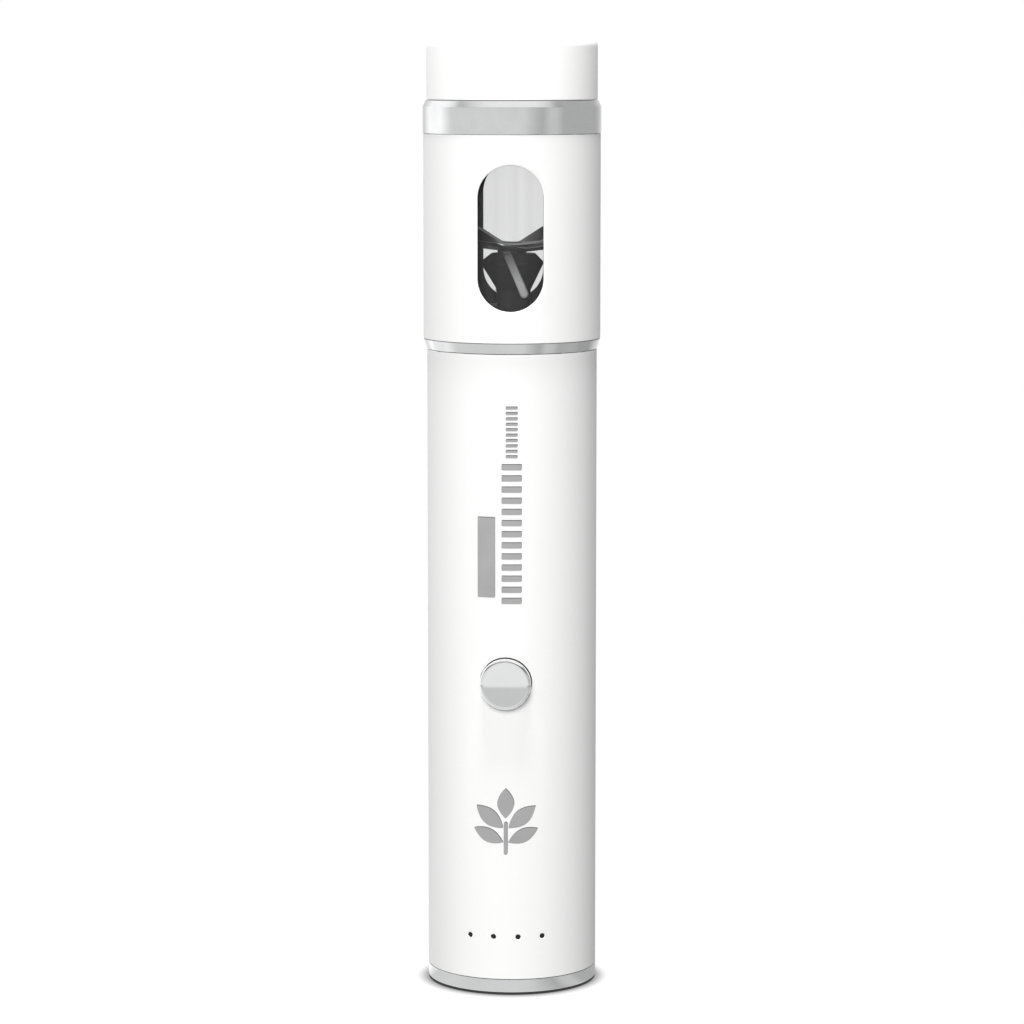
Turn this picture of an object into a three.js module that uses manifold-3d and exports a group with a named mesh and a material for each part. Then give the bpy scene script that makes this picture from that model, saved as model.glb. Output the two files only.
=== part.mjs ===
// A rechargeable pen grinder for dry herbs and spices, standing upright on its base.
//
// A painted tube holds, from the bottom up, a charging board with four charge lights, a lithium
// cell, a motor with a planetary gearbox, and the sealed neck that its output shaft comes out of.
// The cutters turn on that shaft, inside a head that pushes onto the neck over an O-ring: a clear
// grinding chamber in a painted sleeve with a window on each side. A cap closes the chamber's mouth.
//
// Millimetres. +Z is up along the axis, the button faces -Y, and the origin is the centre of the
// foot pad's flat face.

import * as THREE from "three";
import { mergeVertices } from "three/addons/utils/BufferGeometryUtils.js";
import Module from "manifold-3d";

const wasm = await Module();
wasm.setup();

// ---------------------------------------------------------------- driving dimensions

// Fits. A radius that slides or is pressed into another piece is smaller by one of these.
const slip = 0.15; // a piece fixed inside another
const slide = 0.2; // a piece that is pulled off or turned by hand
const running = 0.1; // a shaft in its bore
const partingLine = 0.1; // the visible line between two shells

// Base
const padStandOff = 0.5; // how far the pad lifts the metal ring off the table
const baseRingHeight = 2.7;
const baseLipThickness = 1.3;
const padRadius = 14;
const padRecess = 0.9;
const baseScrewSpread = 10.5;
const baseScrewSetback = 5;

// Body tube
const bodyRadius = 17.5;
const tubeWall = 1.2;
const chassisWall = 1.2;
const chassisGap = 0.35; // between the chassis and the tube's bore

// Charging board, lights and socket
const lightHeight = 12.2;
const lightHoleRadius = 0.55;
const lightPitch = 16.8; // degrees between lights
const lightCount = 4;
const boardThickness = 1.2;
const socketWidth = 8.9;
const socketHeight = 3.2;
const socketDepth = 7.3;
const socketSheet = 0.3;

// Cell
const cellRadius = 9.2;
const cellLength = 65;
const cellRearGap = 1.05; // the cell sits behind the axis, to leave room for the switch
const tabThickness = 0.2;

// Button and switch
const buttonBelowCellTop = 15.65;
const buttonRadius = 5.25;
const buttonProud = 1.6;
const buttonTravel = 0.6;
const buttonCorner = 0.5;
const buttonFlangeThickness = 0.9;
const switchWidth = 6;
const switchDepth = 3.35;
const switchBoardWidth = 15;
const switchBoardLength = 32;

// Motor
const motorRadius = 12;
const motorLength = 30;
const motorSheet = 0.7;
const motorShaftRadius = 1;
const armatureRadius = 8.4;
const armatureLength = 14;

// Gearbox
const sunTeeth = 12;
const planetTeeth = 18;
const ringTeeth = sunTeeth + 2 * planetTeeth;
const planetCount = 3;
const gearFace = 6;
const gearWall = 1.5;
const gearboxLength = 13.3;
const gearboxCoverThickness = 3.1;
const outputShaftRadius = 2;
const planetPinRadius = 0.9;
const pressureAngle = THREE.MathUtils.degToRad(25);
const gearAddendum = 0.8; // shares of the module
const gearDedendum = 1.05;
const gearBacklash = 0.12;

// Neck
const neckHeight = 7.7;
const neckStep = 0.4; // how much narrower than the tube's bore the neck is
const neckFloor = 3.6;
const collarDepth = 10.1;
const sealRadius = 5;
const collarScrewSpread = 8;
const ringCord = 0.46; // the O-rings' section radius, as fitted

// Head
const headStep = 0.75; // how much wider than the body the sleeve is
const sleeveWall = 1.1;
const bevelRingHeight = 2.15;
const sleeveLength = 41.9;
const topRingHeight = 6.8;
const topRingProud = 0.1;
const topRingBevel = 1.3;
const chamberWall = 2.4;
const chamberNeckHeight = 8.7;
const windowWidth = 13.3;
const windowSill = 6.35; // from the sleeve's lower edge to the window
const windowLintel = 6.05; // from the window to the sleeve's upper edge
const headTurned = THREE.MathUtils.degToRad(3.3); // how the head happens to be turned on the neck

// Cap
const capStep = 0.65; // how much narrower than the sleeve the cap is
const capHeight = 15.2;
const capWall = 1.1;
const capTop = 1.6;
const capCorner = 4.5;

// Cutters
const hubPostRadius = 3.05;
const hubConeRadius = 6.6;
const hubTopRadius = 4.8;
const cutterScrewHead = 1.45;
const cutterScrewShank = 0.75;
const cutterReach = 13.4;
const cutterSheet = 0.65;
const fingerCount = 2;
const fingerWidth = 1.55;
const fingerDrop = 7.9;
const fingerStart = -0.4;
const fingerArm = 1.6;
const fingerLean = THREE.MathUtils.degToRad(23);
const veeBend = THREE.MathUtils.degToRad(30);
const veePitch = THREE.MathUtils.degToRad(22);
const flatPitch = THREE.MathUtils.degToRad(12);

// Wires
const wireRadius = 0.55;

// Facets round a full turn
const shellFacets = 32;
const partFacets = 24;
const smallFacets = 12;

// ---------------------------------------------------------------- derived levels and radii

const tubeBore = bodyRadius - tubeWall;
const baseRingTop = padStandOff + baseRingHeight;
const tubeBottom = baseRingTop + partingLine;
const chassisOuter = tubeBore - chassisGap;
const chassisInner = chassisOuter - chassisWall;
const spigotTop = baseRingTop + 3;
const chassisBottom = spigotTop + 0.3;

const boardTop = lightHeight - 0.9;
const boardBottom = boardTop - boardThickness;
const boardRadius = chassisInner - 0.45;
const cellBottom = boardTop + socketHeight + 3 * tabThickness + 0.55;
const cellTop = cellBottom + cellLength;
const cellSetback = chassisInner - cellRadius - cellRearGap;
const buttonHeight = cellTop - buttonBelowCellTop;

const terminalLength = 3.9;
const endCapThickness = 2.4;
const endCapBottom = cellTop + 2.4 + terminalLength;
const canBottom = endCapBottom + endCapThickness;
const canTop = canBottom + motorLength;
const gearboxBottom = canTop + 0.3;
const gearboxTop = gearboxBottom + gearboxLength;
const coverTop = gearboxTop + partingLine + gearboxCoverThickness;
const neckFloorBottom = coverTop + 0.2;
const neckTop = neckFloorBottom + neckFloor;
const tubeTop = neckTop - neckHeight;
const collarBottom = tubeTop - collarDepth;
const chassisTop = collarBottom - 0.3;

const neckRadius = tubeBore - neckStep;
const headBore = neckRadius + slide;
const sleeveRadius = bodyRadius + headStep;
const sleeveBore = sleeveRadius - sleeveWall;
const bevelBottom = tubeTop + slip;
const sleeveBottom = bevelBottom + bevelRingHeight;
const sleeveTop = sleeveBottom + sleeveLength;
const topRingTop = sleeveTop + topRingHeight;
const chamberOuter = sleeveBore - slip;
const chamberBore = chamberOuter - chamberWall;
const chamberBottom = neckTop + 0.45;
const chamberShoulder = topRingTop - 2.2;
const chamberTop = chamberShoulder + chamberNeckHeight;
const capRadius = sleeveRadius - capStep;
const capBore = capRadius - capWall;
const capBottom = topRingTop + partingLine;
const capTopLevel = capBottom + capHeight;
const chamberNeckRadius = capBore - 1.75 * slide;
const windowHeight = sleeveLength - windowSill - windowLintel;
const windowCentre = sleeveBottom + windowSill + windowHeight / 2;

const gearModule = (motorRadius - gearWall) / (ringTeeth / 2 + gearDedendum);
const planetOrbit = (gearModule * (sunTeeth + planetTeeth)) / 2;
const ringTipRadius = gearModule * (ringTeeth / 2 - gearAddendum);
const gearBottom = gearboxBottom + 3.5;
const gearTop = gearBottom + gearFace;
const carrierBottom = gearTop + 0.4;
const carrierTop = gearboxTop - 0.5;

const hubBottom = neckTop + 0.4;
const hubTop = hubBottom + 11.6;
const fingerBottom = hubTop + partingLine;
const flatBottom = fingerBottom + cutterSheet + partingLine;
const veeBottom = flatBottom + cutterSheet + partingLine;
const veeTop = veeBottom + cutterSheet;

// ---------------------------------------------------------------- solids

const X = new THREE.Vector3(1, 0, 0);
const Z = new THREE.Vector3(0, 0, 1);

/** The manifold solid of a three.js geometry. */
function solid(geometry) {
  const bare = geometry.clone();
  bare.deleteAttribute("normal");
  bare.deleteAttribute("uv");
  const merged = mergeVertices(bare, 1e-4);
  const made = new wasm.Manifold(
    new wasm.Mesh({
      numProp: 3,
      vertProperties: new Float32Array(merged.attributes.position.array),
      triVerts: new Uint32Array(merged.index.array),
    }),
  );
  return made;
}

/** The three.js geometry of a manifold solid. */
function geometryOf(made) {
  const mesh = made.getMesh();
  const geometry = new THREE.BufferGeometry();
  geometry.setAttribute("position", new THREE.BufferAttribute(mesh.vertProperties, 3));
  geometry.setIndex(new THREE.BufferAttribute(mesh.triVerts, 1));
  return geometry;
}

const join = (first, ...others) => others.reduce((sum, next) => sum.add(next), first);
const cut = (first, ...tools) => tools.reduce((rest, tool) => rest.subtract(tool), first);

/** Twice the signed area of a closed outline: positive when it runs anticlockwise. */
function signedArea(points) {
  return points.reduce((sum, [x, y], i) => {
    const [nextX, nextY] = points[(i + 1) % points.length];
    return sum + x * nextY - nextX * y;
  }, 0);
}

/** A solid of revolution about Z. The outline is a closed loop of [radius, height] points. */
function turned(outline, facets = shellFacets) {
  const loop = signedArea(outline) > 0 ? outline : [...outline].reverse();
  const axisStart = loop.findIndex(
    ([r], i) => r === 0 && loop[(i + loop.length - 1) % loop.length][0] === 0,
  );
  const ordered = axisStart > 0 ? [...loop.slice(axisStart), ...loop.slice(0, axisStart)] : loop;
  const closing = axisStart >= 0 ? [] : [ordered[0]];
  const points = [...ordered, ...closing].map(([r, z]) => new THREE.Vector2(r, z));
  return solid(new THREE.LatheGeometry(points, facets).rotateX(Math.PI / 2));
}

/** A ring or, with an inner radius of 0, a disc about Z. */
function ring(inner, outer, bottom, top, facets = shellFacets) {
  return turned([[inner, bottom], [outer, bottom], [outer, top], [inner, top]], facets);
}

/** An outline in XY, pulled up along Z. */
function prism(outline, bottom, top, holes = []) {
  const shape = new THREE.Shape(outline.map(([x, y]) => new THREE.Vector2(x, y)));
  shape.holes = holes.map((hole) => new THREE.Path(hole.map(([x, y]) => new THREE.Vector2(x, y))));
  const options = { depth: top - bottom, bevelEnabled: false, curveSegments: 1 };
  return solid(new THREE.ExtrudeGeometry(shape, options).translate(0, 0, bottom));
}

/** A box between two corners. */
function block([x0, y0, z0], [x1, y1, z1]) {
  const box = new THREE.BoxGeometry(x1 - x0, y1 - y0, z1 - z0);
  return solid(box.translate((x0 + x1) / 2, (y0 + y1) / 2, (z0 + z1) / 2));
}

/** A solid moved, after a turn about one axis through the origin. */
function placed(made, { turn = 0, about = Z, move = [0, 0, 0] }) {
  const matrix = new THREE.Matrix4().makeRotationAxis(about, turn);
  matrix.setPosition(...move);
  return made.transform(matrix.elements);
}

/** A solid that was made along +Z, laid along -Y and lifted to a height. */
const facingFront = (made, height) =>
  placed(made, { turn: Math.PI / 2, about: X, move: [0, 0, height] });

/** Points on an arc about a centre, both ends included. */
function arc([x, y], radius, from, to, steps) {
  return Array.from({ length: steps + 1 }, (_, i) => {
    const angle = from + ((to - from) * i) / steps;
    return [x + radius * Math.cos(angle), y + radius * Math.sin(angle)];
  });
}

/** A slot with round ends, its long side along X. */
function slotOutline(length, width, steps = 8) {
  const reach = (length - width) / 2;
  return [
    ...arc([reach, 0], width / 2, -Math.PI / 2, Math.PI / 2, steps),
    ...arc([-reach, 0], width / 2, Math.PI / 2, 1.5 * Math.PI, steps),
  ];
}

/** A sector of a ring, centred on an azimuth. */
function sector(inner, outer, azimuth, spread, bottom, top, steps) {
  const [from, to] = [azimuth - spread / 2, azimuth + spread / 2];
  const outline = [
    ...arc([0, 0], outer, from, to, steps),
    ...arc([0, 0], inner, to, from, steps),
  ];
  return prism(outline, bottom, top);
}

/** A round wire swept along a smooth curve through its points. */
function wire(points, steps) {
  const path = new THREE.CatmullRomCurve3(points.map((p) => new THREE.Vector3(...p)));
  const section = new THREE.Shape(arc([0, 0], wireRadius, 0, 1.75 * Math.PI, 7).map(
    ([x, y]) => new THREE.Vector2(x, y),
  ));
  const options = { steps, extrudePath: path, bevelEnabled: false, curveSegments: 1 };
  return solid(new THREE.ExtrudeGeometry(section, options));
}

/** The O-ring of a groove, as the closed section of its cord about Z. */
function oRing(centreRadius, height) {
  return turned(arc([centreRadius, height], ringCord, 0, (2 * Math.PI * 5) / 6, 5));
}

/** The outline of an involute gear, or of the hole of an internal one, with a tooth at azimuth 0. */
function gearOutline(teeth, addendum, dedendum, thinning) {
  const pitch = (gearModule * teeth) / 2;
  const base = pitch * Math.cos(pressureAngle);
  const tip = pitch + gearModule * addendum;
  const root = pitch - gearModule * dedendum;
  const involute = (angle) => Math.tan(angle) - angle;
  const halfAngle = (radius) => {
    const slope = Math.acos(Math.min(1, base / radius));
    const half = Math.PI / (2 * teeth) - thinning / (2 * pitch);
    return half + involute(pressureAngle) - involute(slope);
  };
  const flank = [0, 0.5, 1].map((share) => {
    const start = Math.max(base, root);
    const radius = start + (tip - start) * share;
    return [radius, halfAngle(radius)];
  });
  const steps = root < base ? [[root, halfAngle(base)], ...flank] : flank;
  const polar = (radius, angle) => [radius * Math.cos(angle), radius * Math.sin(angle)];
  return Array.from({ length: teeth }, (_, tooth) => {
    const centre = (2 * Math.PI * tooth) / teeth;
    const rising = steps.map(([radius, half]) => polar(radius, centre - half));
    const falling = [...steps].reverse().map(([radius, half]) => polar(radius, centre + half));
    return [...rising, ...falling];
  }).flat();
}

/** A screw with its head down at a height and its shank up, on the Z axis. */
function screwUp(headRadius, headHeight, shankRadius, bottom, length) {
  const shank = bottom + headHeight;
  return turned([
    [0, bottom], [headRadius, bottom], [headRadius, shank],
    [shankRadius, shank], [shankRadius, shank + length], [0, shank + length + shankRadius],
  ], smallFacets);
}

/** A countersunk screw with its flat head up at a height and its shank down, on the Z axis. */
function screwDown(headRadius, shankRadius, top, length) {
  const neck = top - (headRadius - shankRadius);
  return turned([
    [0, neck - length], [shankRadius, neck - length + shankRadius / 2], [shankRadius, neck],
    [headRadius, top], [0, top],
  ], smallFacets);
}

/** The cone that a countersunk head of a radius sits in, its mouth open at a height. */
function countersink(headRadius, shankRadius, top, depth) {
  const [head, shank] = [headRadius + slip, shankRadius + slip];
  return turned([
    [0, top - depth], [shank, top - depth], [shank, top - (head - shank)],
    [head, top], [head, top + 1], [0, top + 1],
  ], smallFacets);
}

// ---------------------------------------------------------------- materials

const finish = (color, roughness, metalness, opacity = 1) => {
  const transparent = opacity < 1;
  return new THREE.MeshStandardMaterial({ color, roughness, metalness, opacity, transparent });
};
const whitePaint = finish(0xf2f2f2, 0.55, 0);
const brushedAluminium = finish(0xb9bcbf, 0.35, 1);
const chrome = finish(0xc8c9ca, 0.12, 1);
const clearPlastic = finish(0xf4f7f8, 0.05, 0, 0.25);
const blackPlastic = finish(0x1b1c1e, 0.45, 0);
const blackCutter = finish(0x232426, 0.3, 0.6);
const steel = finish(0x9ea1a4, 0.3, 1);
const rubber = finish(0x141414, 0.85, 0);
const siliconeRubber = finish(0x2c2d2f, 0.7, 0);
const boardGreen = finish(0x1f5a38, 0.5, 0);
const lightPackage = finish(0xe9e6d8, 0.4, 0);
const smokedPlastic = finish(0x0c0c0d, 0.2, 0);
const cellWrap = finish(0x2f5d8c, 0.4, 0);
const nickel = finish(0xb3aea2, 0.35, 1);
const copper = finish(0xa65f32, 0.4, 1);
const bronze = finish(0x9a7444, 0.4, 1);
const ferrite = finish(0x3b3c40, 0.8, 0);
const gearNylon = finish(0xe6e3da, 0.5, 0);
const zinc = finish(0x8e9194, 0.4, 1);
const redInsulation = finish(0xa8201c, 0.5, 0);
const blackInsulation = finish(0x161616, 0.5, 0);

/** A named mesh of a solid. */
function piece(name, made, material) {
  const mesh = new THREE.Mesh(geometryOf(made), material);
  mesh.name = name;
  return mesh;
}

// ---------------------------------------------------------------- base

const lipInner = bodyRadius - 2.8; // the ring's inward lip, which the plug pulls up
const flangeBore = bodyRadius - 1.9;
const lipBottom = baseRingTop - baseLipThickness;

function baseRing() {
  const chamfer = 0.25;
  return turned([
    [flangeBore, padStandOff], [bodyRadius - chamfer, padStandOff],
    [bodyRadius, padStandOff + chamfer], [bodyRadius, baseRingTop],
    [tubeBore - slip, baseRingTop], [tubeBore - slip, spigotTop],
    [lipInner, spigotTop], [lipInner, lipBottom], [flangeBore, lipBottom],
  ]);
}

const plugBottom = padStandOff + 0.2;
const recessTop = plugBottom + padRecess - 0.2;
const baseScrews = [-1, 1].map((side) => [side * baseScrewSpread, baseScrewSetback, 0]);

function basePlug() {
  const plug = turned([
    [0, plugBottom], [flangeBore - slip, plugBottom], [flangeBore - slip, lipBottom - slip],
    [lipInner - slip, lipBottom - slip], [lipInner - slip, spigotTop - 0.5], [0, spigotTop - 0.5],
  ]);
  const recess = ring(0, padRadius + slip, plugBottom - 1, recessTop);
  const holes = baseScrews.flatMap((move) => [
    placed(ring(0, 2.15, plugBottom, recessTop + 1.7, smallFacets), { move }),
    placed(ring(0, 1.25, plugBottom, spigotTop, smallFacets), { move }),
  ]);
  return cut(plug, recess, ...holes);
}

function footPad() {
  const corner = 0.3;
  return turned([
    [0, 0], [padRadius - corner, 0], [padRadius, corner],
    [padRadius, recessTop - slip], [0, recessTop - slip],
  ]);
}

const baseScrew = (move) =>
  placed(screwUp(1.9, 1.3, 1, recessTop + 0.25, 6.5), { move });

// ---------------------------------------------------------------- body

const socketCentre = boardTop + 0.05 + socketHeight / 2;
const lightAzimuths = Array.from(
  { length: lightCount },
  (_, i) => THREE.MathUtils.degToRad((i - (lightCount - 1) / 2) * lightPitch),
);

/** A straight hole to the rear, for the charging socket. */
const rearSlot = (clearance, from, to) => {
  const outline = slotOutline(socketWidth + 2 * clearance, socketHeight + 2 * clearance);
  const slot = prism(outline, -to, -from);
  return placed(slot, { turn: Math.PI / 2, about: X, move: [0, 0, socketCentre] });
};

/** Radial holes for the lights, each from one radius to another. */
const lightHoles = (radius, from, to) =>
  lightAzimuths.map((azimuth) =>
    placed(facingFront(ring(0, radius, from, to, 10), lightHeight), { turn: azimuth }),
  );

function bodyTube() {
  const tube = ring(tubeBore, bodyRadius, tubeBottom, tubeTop);
  const buttonHole = facingFront(
    ring(0, buttonRadius + 0.25, tubeBore / 2, bodyRadius + 1, partFacets), buttonHeight,
  );
  const lights = lightHoles(lightHoleRadius, chassisInner, bodyRadius + 1);
  return cut(tube, buttonHole, rearSlot(0.25, tubeBore / 2, bodyRadius + 1), ...lights);
}

/** The cell's and the motor's seats, as the tool that clears them out of the chassis ribs. */
function chassisContents() {
  const cell = ring(0, cellRadius + 0.25, chassisBottom + 3, cellTop + 1, partFacets);
  const motor = ring(0, motorRadius + 0.25, cellTop + 2, chassisTop + 1, partFacets);
  return join(placed(cell, { move: [0, cellSetback, 0] }), motor);
}

const buttonFlangeRadius = buttonRadius + 0.85;
const buttonFlangeFront = Math.sqrt(tubeBore ** 2 - buttonFlangeRadius ** 2) - 0.3;
const buttonBossTip = buttonFlangeFront - buttonFlangeThickness - 0.3;
const plungerTip = buttonBossTip - slip;
const switchBack = plungerTip - switchDepth - buttonTravel - 0.3;
const switchBoardFace = 0.05 - switchBack; // the board's front face
const switchBoardBottom = buttonHeight - switchBoardLength / 2;

/** One half of the chassis that fills the tube. side is 1 for the rear half, -1 for the front. */
function chassisHalf(side) {
  const rib = (bottom, thickness) =>
    ring(0, chassisInner + 0.1, bottom, bottom + thickness, partFacets);
  const shell = ring(chassisInner, chassisOuter, chassisBottom, chassisTop, partFacets);
  const thirds = [0.15, 0.5, 0.85].map((share) => rib(cellBottom + cellLength * share, 1.6));
  const motorRibs = [0.1, 0.75].map((share) => rib(canBottom + motorLength * share, 1.6));
  const ledge = cut(
    rib(boardBottom - 1.7, 1.6), ring(0, chassisInner - 2.4, boardBottom - 2, boardBottom, partFacets),
  );
  const whole = cut(join(shell, ...thirds, ...motorRibs), chassisContents());
  const far = 2 * chassisOuter;
  const keep = block(
    [-far, side > 0 ? partingLine : -far, 0],
    [far, side > 0 ? far : -partingLine, chassisTop + 1],
  );
  return join(whole, ledge).intersect(keep);
}

function chassisRear() {
  const bosses = baseScrews.map((move) =>
    placed(ring(0, 2.4, chassisBottom, cellBottom - 0.8, smallFacets), { move }),
  );
  const floor = ring(0, chassisInner + 0.1, chassisBottom, chassisBottom + 1.5, partFacets)
    .intersect(block([-chassisOuter, partingLine, 0], [chassisOuter, chassisOuter, chassisTop]));
  const pilots = baseScrews.map((move) =>
    placed(ring(0, 1.15, 0, cellBottom, smallFacets), { move }),
  );
  const body = join(chassisHalf(1), floor, ...bosses);
  return cut(body, ...pilots, rearSlot(0.25, boardRadius - 8, chassisOuter + 1));
}

function chassisFront() {
  const buttonHole = facingFront(
    ring(0, buttonRadius + 1.35, chassisInner / 2, bodyRadius, partFacets), buttonHeight,
  );
  const halfWidth = switchBoardWidth / 2 + slip;
  const boardSlot = block(
    [-halfWidth, switchBoardFace - switchDepth - 1.2, switchBoardBottom - slip],
    [halfWidth, 0, switchBoardBottom + switchBoardLength + slip],
  );
  const leadSlot = block([-halfWidth, switchBoardFace, cellBottom], [halfWidth, 0, buttonHeight]);
  const lights = lightHoles(0.8, boardRadius - 1, bodyRadius);
  return cut(chassisHalf(-1), buttonHole, boardSlot, leadSlot, ...lights);
}

// ---------------------------------------------------------------- charging board

function chargeBoard() {
  const notches = baseScrews.map((move) =>
    placed(ring(0, 2.6, boardBottom - 1, boardTop + 1, smallFacets), { move }),
  );
  return cut(ring(0, boardRadius, boardBottom, boardTop, partFacets), ...notches);
}

function light(azimuth) {
  const front = boardRadius - 0.4;
  const package_ = block(
    [-0.9, -front, boardTop + 0.05], [0.9, 1 - front, boardTop + 1.75],
  );
  return placed(package_, { turn: azimuth });
}

function lightPipe() {
  const [inner, outer] = [boardRadius - 0.25, chassisInner - slide];
  const spread = THREE.MathUtils.degToRad(lightPitch * lightCount);
  const bar = sector(inner, outer, -Math.PI / 2, spread, lightHeight - 0.6, lightHeight + 0.6, 12);
  return join(bar, ...lightHoles(lightHoleRadius - running, inner + 0.15, bodyRadius - 0.1));
}

/** A solid made along +Z, laid along +Y at the height of the charging socket. */
const facingRear = (made) =>
  placed(made, { turn: -Math.PI / 2, about: X, move: [0, 0, socketCentre] });
const socketMouth = tubeBore - 0.1;

function chargeSocket() {
  const outer = slotOutline(socketWidth, socketHeight);
  const inner = slotOutline(socketWidth - 2 * socketSheet, socketHeight - 2 * socketSheet);
  return facingRear(prism(outer, socketMouth - socketDepth, socketMouth, [inner]));
}

function socketInsert() {
  const clear = 2 * (socketSheet + running);
  const body = prism(
    slotOutline(socketWidth - clear, socketHeight - clear),
    socketMouth - socketDepth, socketMouth - socketDepth + 2,
  );
  const tongue = block([-3.3, -0.35, socketMouth - socketDepth + 1], [3.3, 0.35, socketMouth - 0.9]);
  return facingRear(join(body, tongue));
}

// ---------------------------------------------------------------- cell

function cell() {
  const corner = 0.6;
  const shoulder = cellTop - 0.9;
  const made = turned([
    [0, cellBottom], [cellRadius - corner, cellBottom], [cellRadius, cellBottom + corner],
    [cellRadius, shoulder - corner], [cellRadius - corner, shoulder],
    [3.1, shoulder], [3.1, cellTop], [0, cellTop],
  ], partFacets);
  return placed(made, { move: [0, cellSetback, 0] });
}

/** A nickel strip over one end of the cell and down or up its front: direction is 1 at the top. */
function cellTab(level, direction) {
  const halfWidth = 2;
  const front = cellSetback - cellRadius - 0.35;
  const low = direction > 0 ? level : level - tabThickness;
  const flat = block(
    [-halfWidth, front - tabThickness, low], [halfWidth, cellSetback + 2, low + tabThickness],
  );
  const ends = [level + direction * tabThickness, level - direction * 7];
  const leg = block(
    [-halfWidth, front - tabThickness, Math.min(...ends)], [halfWidth, front, Math.max(...ends)],
  );
  return join(flat, leg);
}

// ---------------------------------------------------------------- button and switch

const buttonFace = bodyRadius + buttonProud;

function pushButton() {
  const corner = buttonCorner * Math.SQRT1_2;
  const outline = [
    [0, buttonBossTip], [2.2, buttonBossTip], [2.2, buttonFlangeFront - buttonFlangeThickness],
    [buttonFlangeRadius, buttonFlangeFront - buttonFlangeThickness],
    [buttonFlangeRadius, buttonFlangeFront],
    [buttonRadius, buttonFlangeFront], [buttonRadius, buttonFace - buttonCorner],
    [buttonRadius - buttonCorner + corner, buttonFace - buttonCorner + corner],
    [buttonRadius - buttonCorner, buttonFace], [0, buttonFace],
  ];
  return facingFront(turned(outline, partFacets), buttonHeight);
}

function switchBoard() {
  const halfWidth = switchBoardWidth / 2;
  return block(
    [-halfWidth, switchBoardFace, switchBoardBottom],
    [halfWidth, switchBoardFace + 1, switchBoardBottom + switchBoardLength],
  );
}

const plungerRadius = 1.75;

function switchHousing() {
  const half = switchWidth / 2;
  const housing = block([-half, -half, switchBack], [half, half, switchBack + switchDepth]);
  const well = ring(0, plungerRadius + slip, switchBack + 1.2, switchBack + 9, smallFacets);
  return facingFront(cut(housing, well), buttonHeight);
}

const switchPlunger = () =>
  facingFront(
    ring(0, plungerRadius, switchBack + 1.2 + buttonTravel + slip, plungerTip, smallFacets),
    buttonHeight,
  );

// ---------------------------------------------------------------- motor

const canBore = motorRadius - motorSheet;
const motorBoss = 3;
const terminalSpread = 7.5;

function motorCan() {
  return turned([
    [motorShaftRadius + slip, canTop - motorSheet], [canBore, canTop - motorSheet],
    [canBore, canBottom], [motorRadius, canBottom], [motorRadius, canTop],
    [motorBoss, canTop], [motorBoss, canTop + 1], [motorShaftRadius + slip, canTop + 1],
  ], partFacets);
}

function motorEndCap() {
  const cap = turned([
    [motorShaftRadius + slip, endCapBottom], [motorRadius, endCapBottom],
    [motorRadius, canBottom - partingLine], [canBore - slip, canBottom - partingLine],
    [canBore - slip, canBottom + 1.2], [motorShaftRadius + slip, canBottom + 1.2],
  ], partFacets);
  const slots = [-1, 1].map((side) =>
    block(
      [side * terminalSpread - 1.35, -0.4, endCapBottom - 1],
      [side * terminalSpread + 1.35, 0.4, canBottom + 2],
    ),
  );
  return cut(cap, ...slots);
}

const motorTerminal = (side) =>
  block(
    [side * terminalSpread - 1.2, -0.25, endCapBottom - terminalLength],
    [side * terminalSpread + 1.2, 0.25, canBottom + 2.4],
  );

const armatureMiddle = canBottom + motorLength * 0.47;
const motorMagnet = (side) =>
  sector(
    armatureRadius + 0.4, canBore - slip, side > 0 ? 0 : Math.PI, THREE.MathUtils.degToRad(124),
    armatureMiddle - 10, armatureMiddle + 10, 10,
  );

const motorShaft = () =>
  turned([
    [0, endCapBottom + 0.6], [motorShaftRadius, endCapBottom + 0.9],
    [motorShaftRadius, gearTop - 0.2], [0, gearTop],
  ], smallFacets);

/** The armature's laminations: a hub and three arms with curved shoes, grown by a clearance. */
function laminations(bottom, top, grown = 0) {
  const hub = ring(0, 2.8 + grown, bottom, top, smallFacets);
  const arms = Array.from({ length: 3 }, (_, i) => {
    const turn = (2 * Math.PI * i) / 3;
    const arm = block([0, -1.4 - grown, bottom], [armatureRadius - 0.6, 1.4 + grown, top]);
    const spread = THREE.MathUtils.degToRad(98 + 2 * grown);
    const shoe = sector(armatureRadius - 1.5 - grown, armatureRadius, 0, spread, bottom, top, 8);
    return placed(join(arm, shoe), { turn });
  });
  return join(hub, ...arms);
}

function armatureCore() {
  const [bottom, top] = [armatureMiddle - armatureLength / 2, armatureMiddle + armatureLength / 2];
  const bore = ring(0, motorShaftRadius + running, bottom - 1, top + 1, smallFacets);
  return cut(laminations(bottom, top), bore);
}

function armatureWinding() {
  const [bottom, top] = [armatureMiddle - armatureLength / 2, armatureMiddle + armatureLength / 2];
  const bundle = ring(3.1, armatureRadius - 1.9, bottom - 2.2, top + 2.2, partFacets);
  return cut(bundle, laminations(bottom - 0.2, top + 0.2, 0.15));
}

const commutator = () =>
  ring(motorShaftRadius + running, 2.6, canBottom + 1.6, canBottom + 4.3, smallFacets);

// ---------------------------------------------------------------- gearbox

function ringGear() {
  const housing = ring(0, motorRadius, gearboxBottom, gearboxTop);
  const bore = ring(0, motorBoss + 0.25, gearboxBottom - 1, gearboxBottom + 3, smallFacets);
  const hole = gearOutline(ringTeeth, gearDedendum, gearAddendum, -gearBacklash / 2);
  const toothed = placed(prism(hole, gearboxBottom + 1.7, gearboxTop + 1), {
    turn: Math.PI / ringTeeth,
  });
  return cut(housing, bore, toothed);
}

function sunGear() {
  const outline = gearOutline(sunTeeth, gearAddendum, gearDedendum, gearBacklash);
  const bore = ring(0, motorShaftRadius + running, gearBottom - 1, gearTop + 1, smallFacets);
  return cut(prism(outline, gearBottom, gearTop), bore);
}

const planetAngle = (index) => (2 * Math.PI * index) / planetCount;

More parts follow.
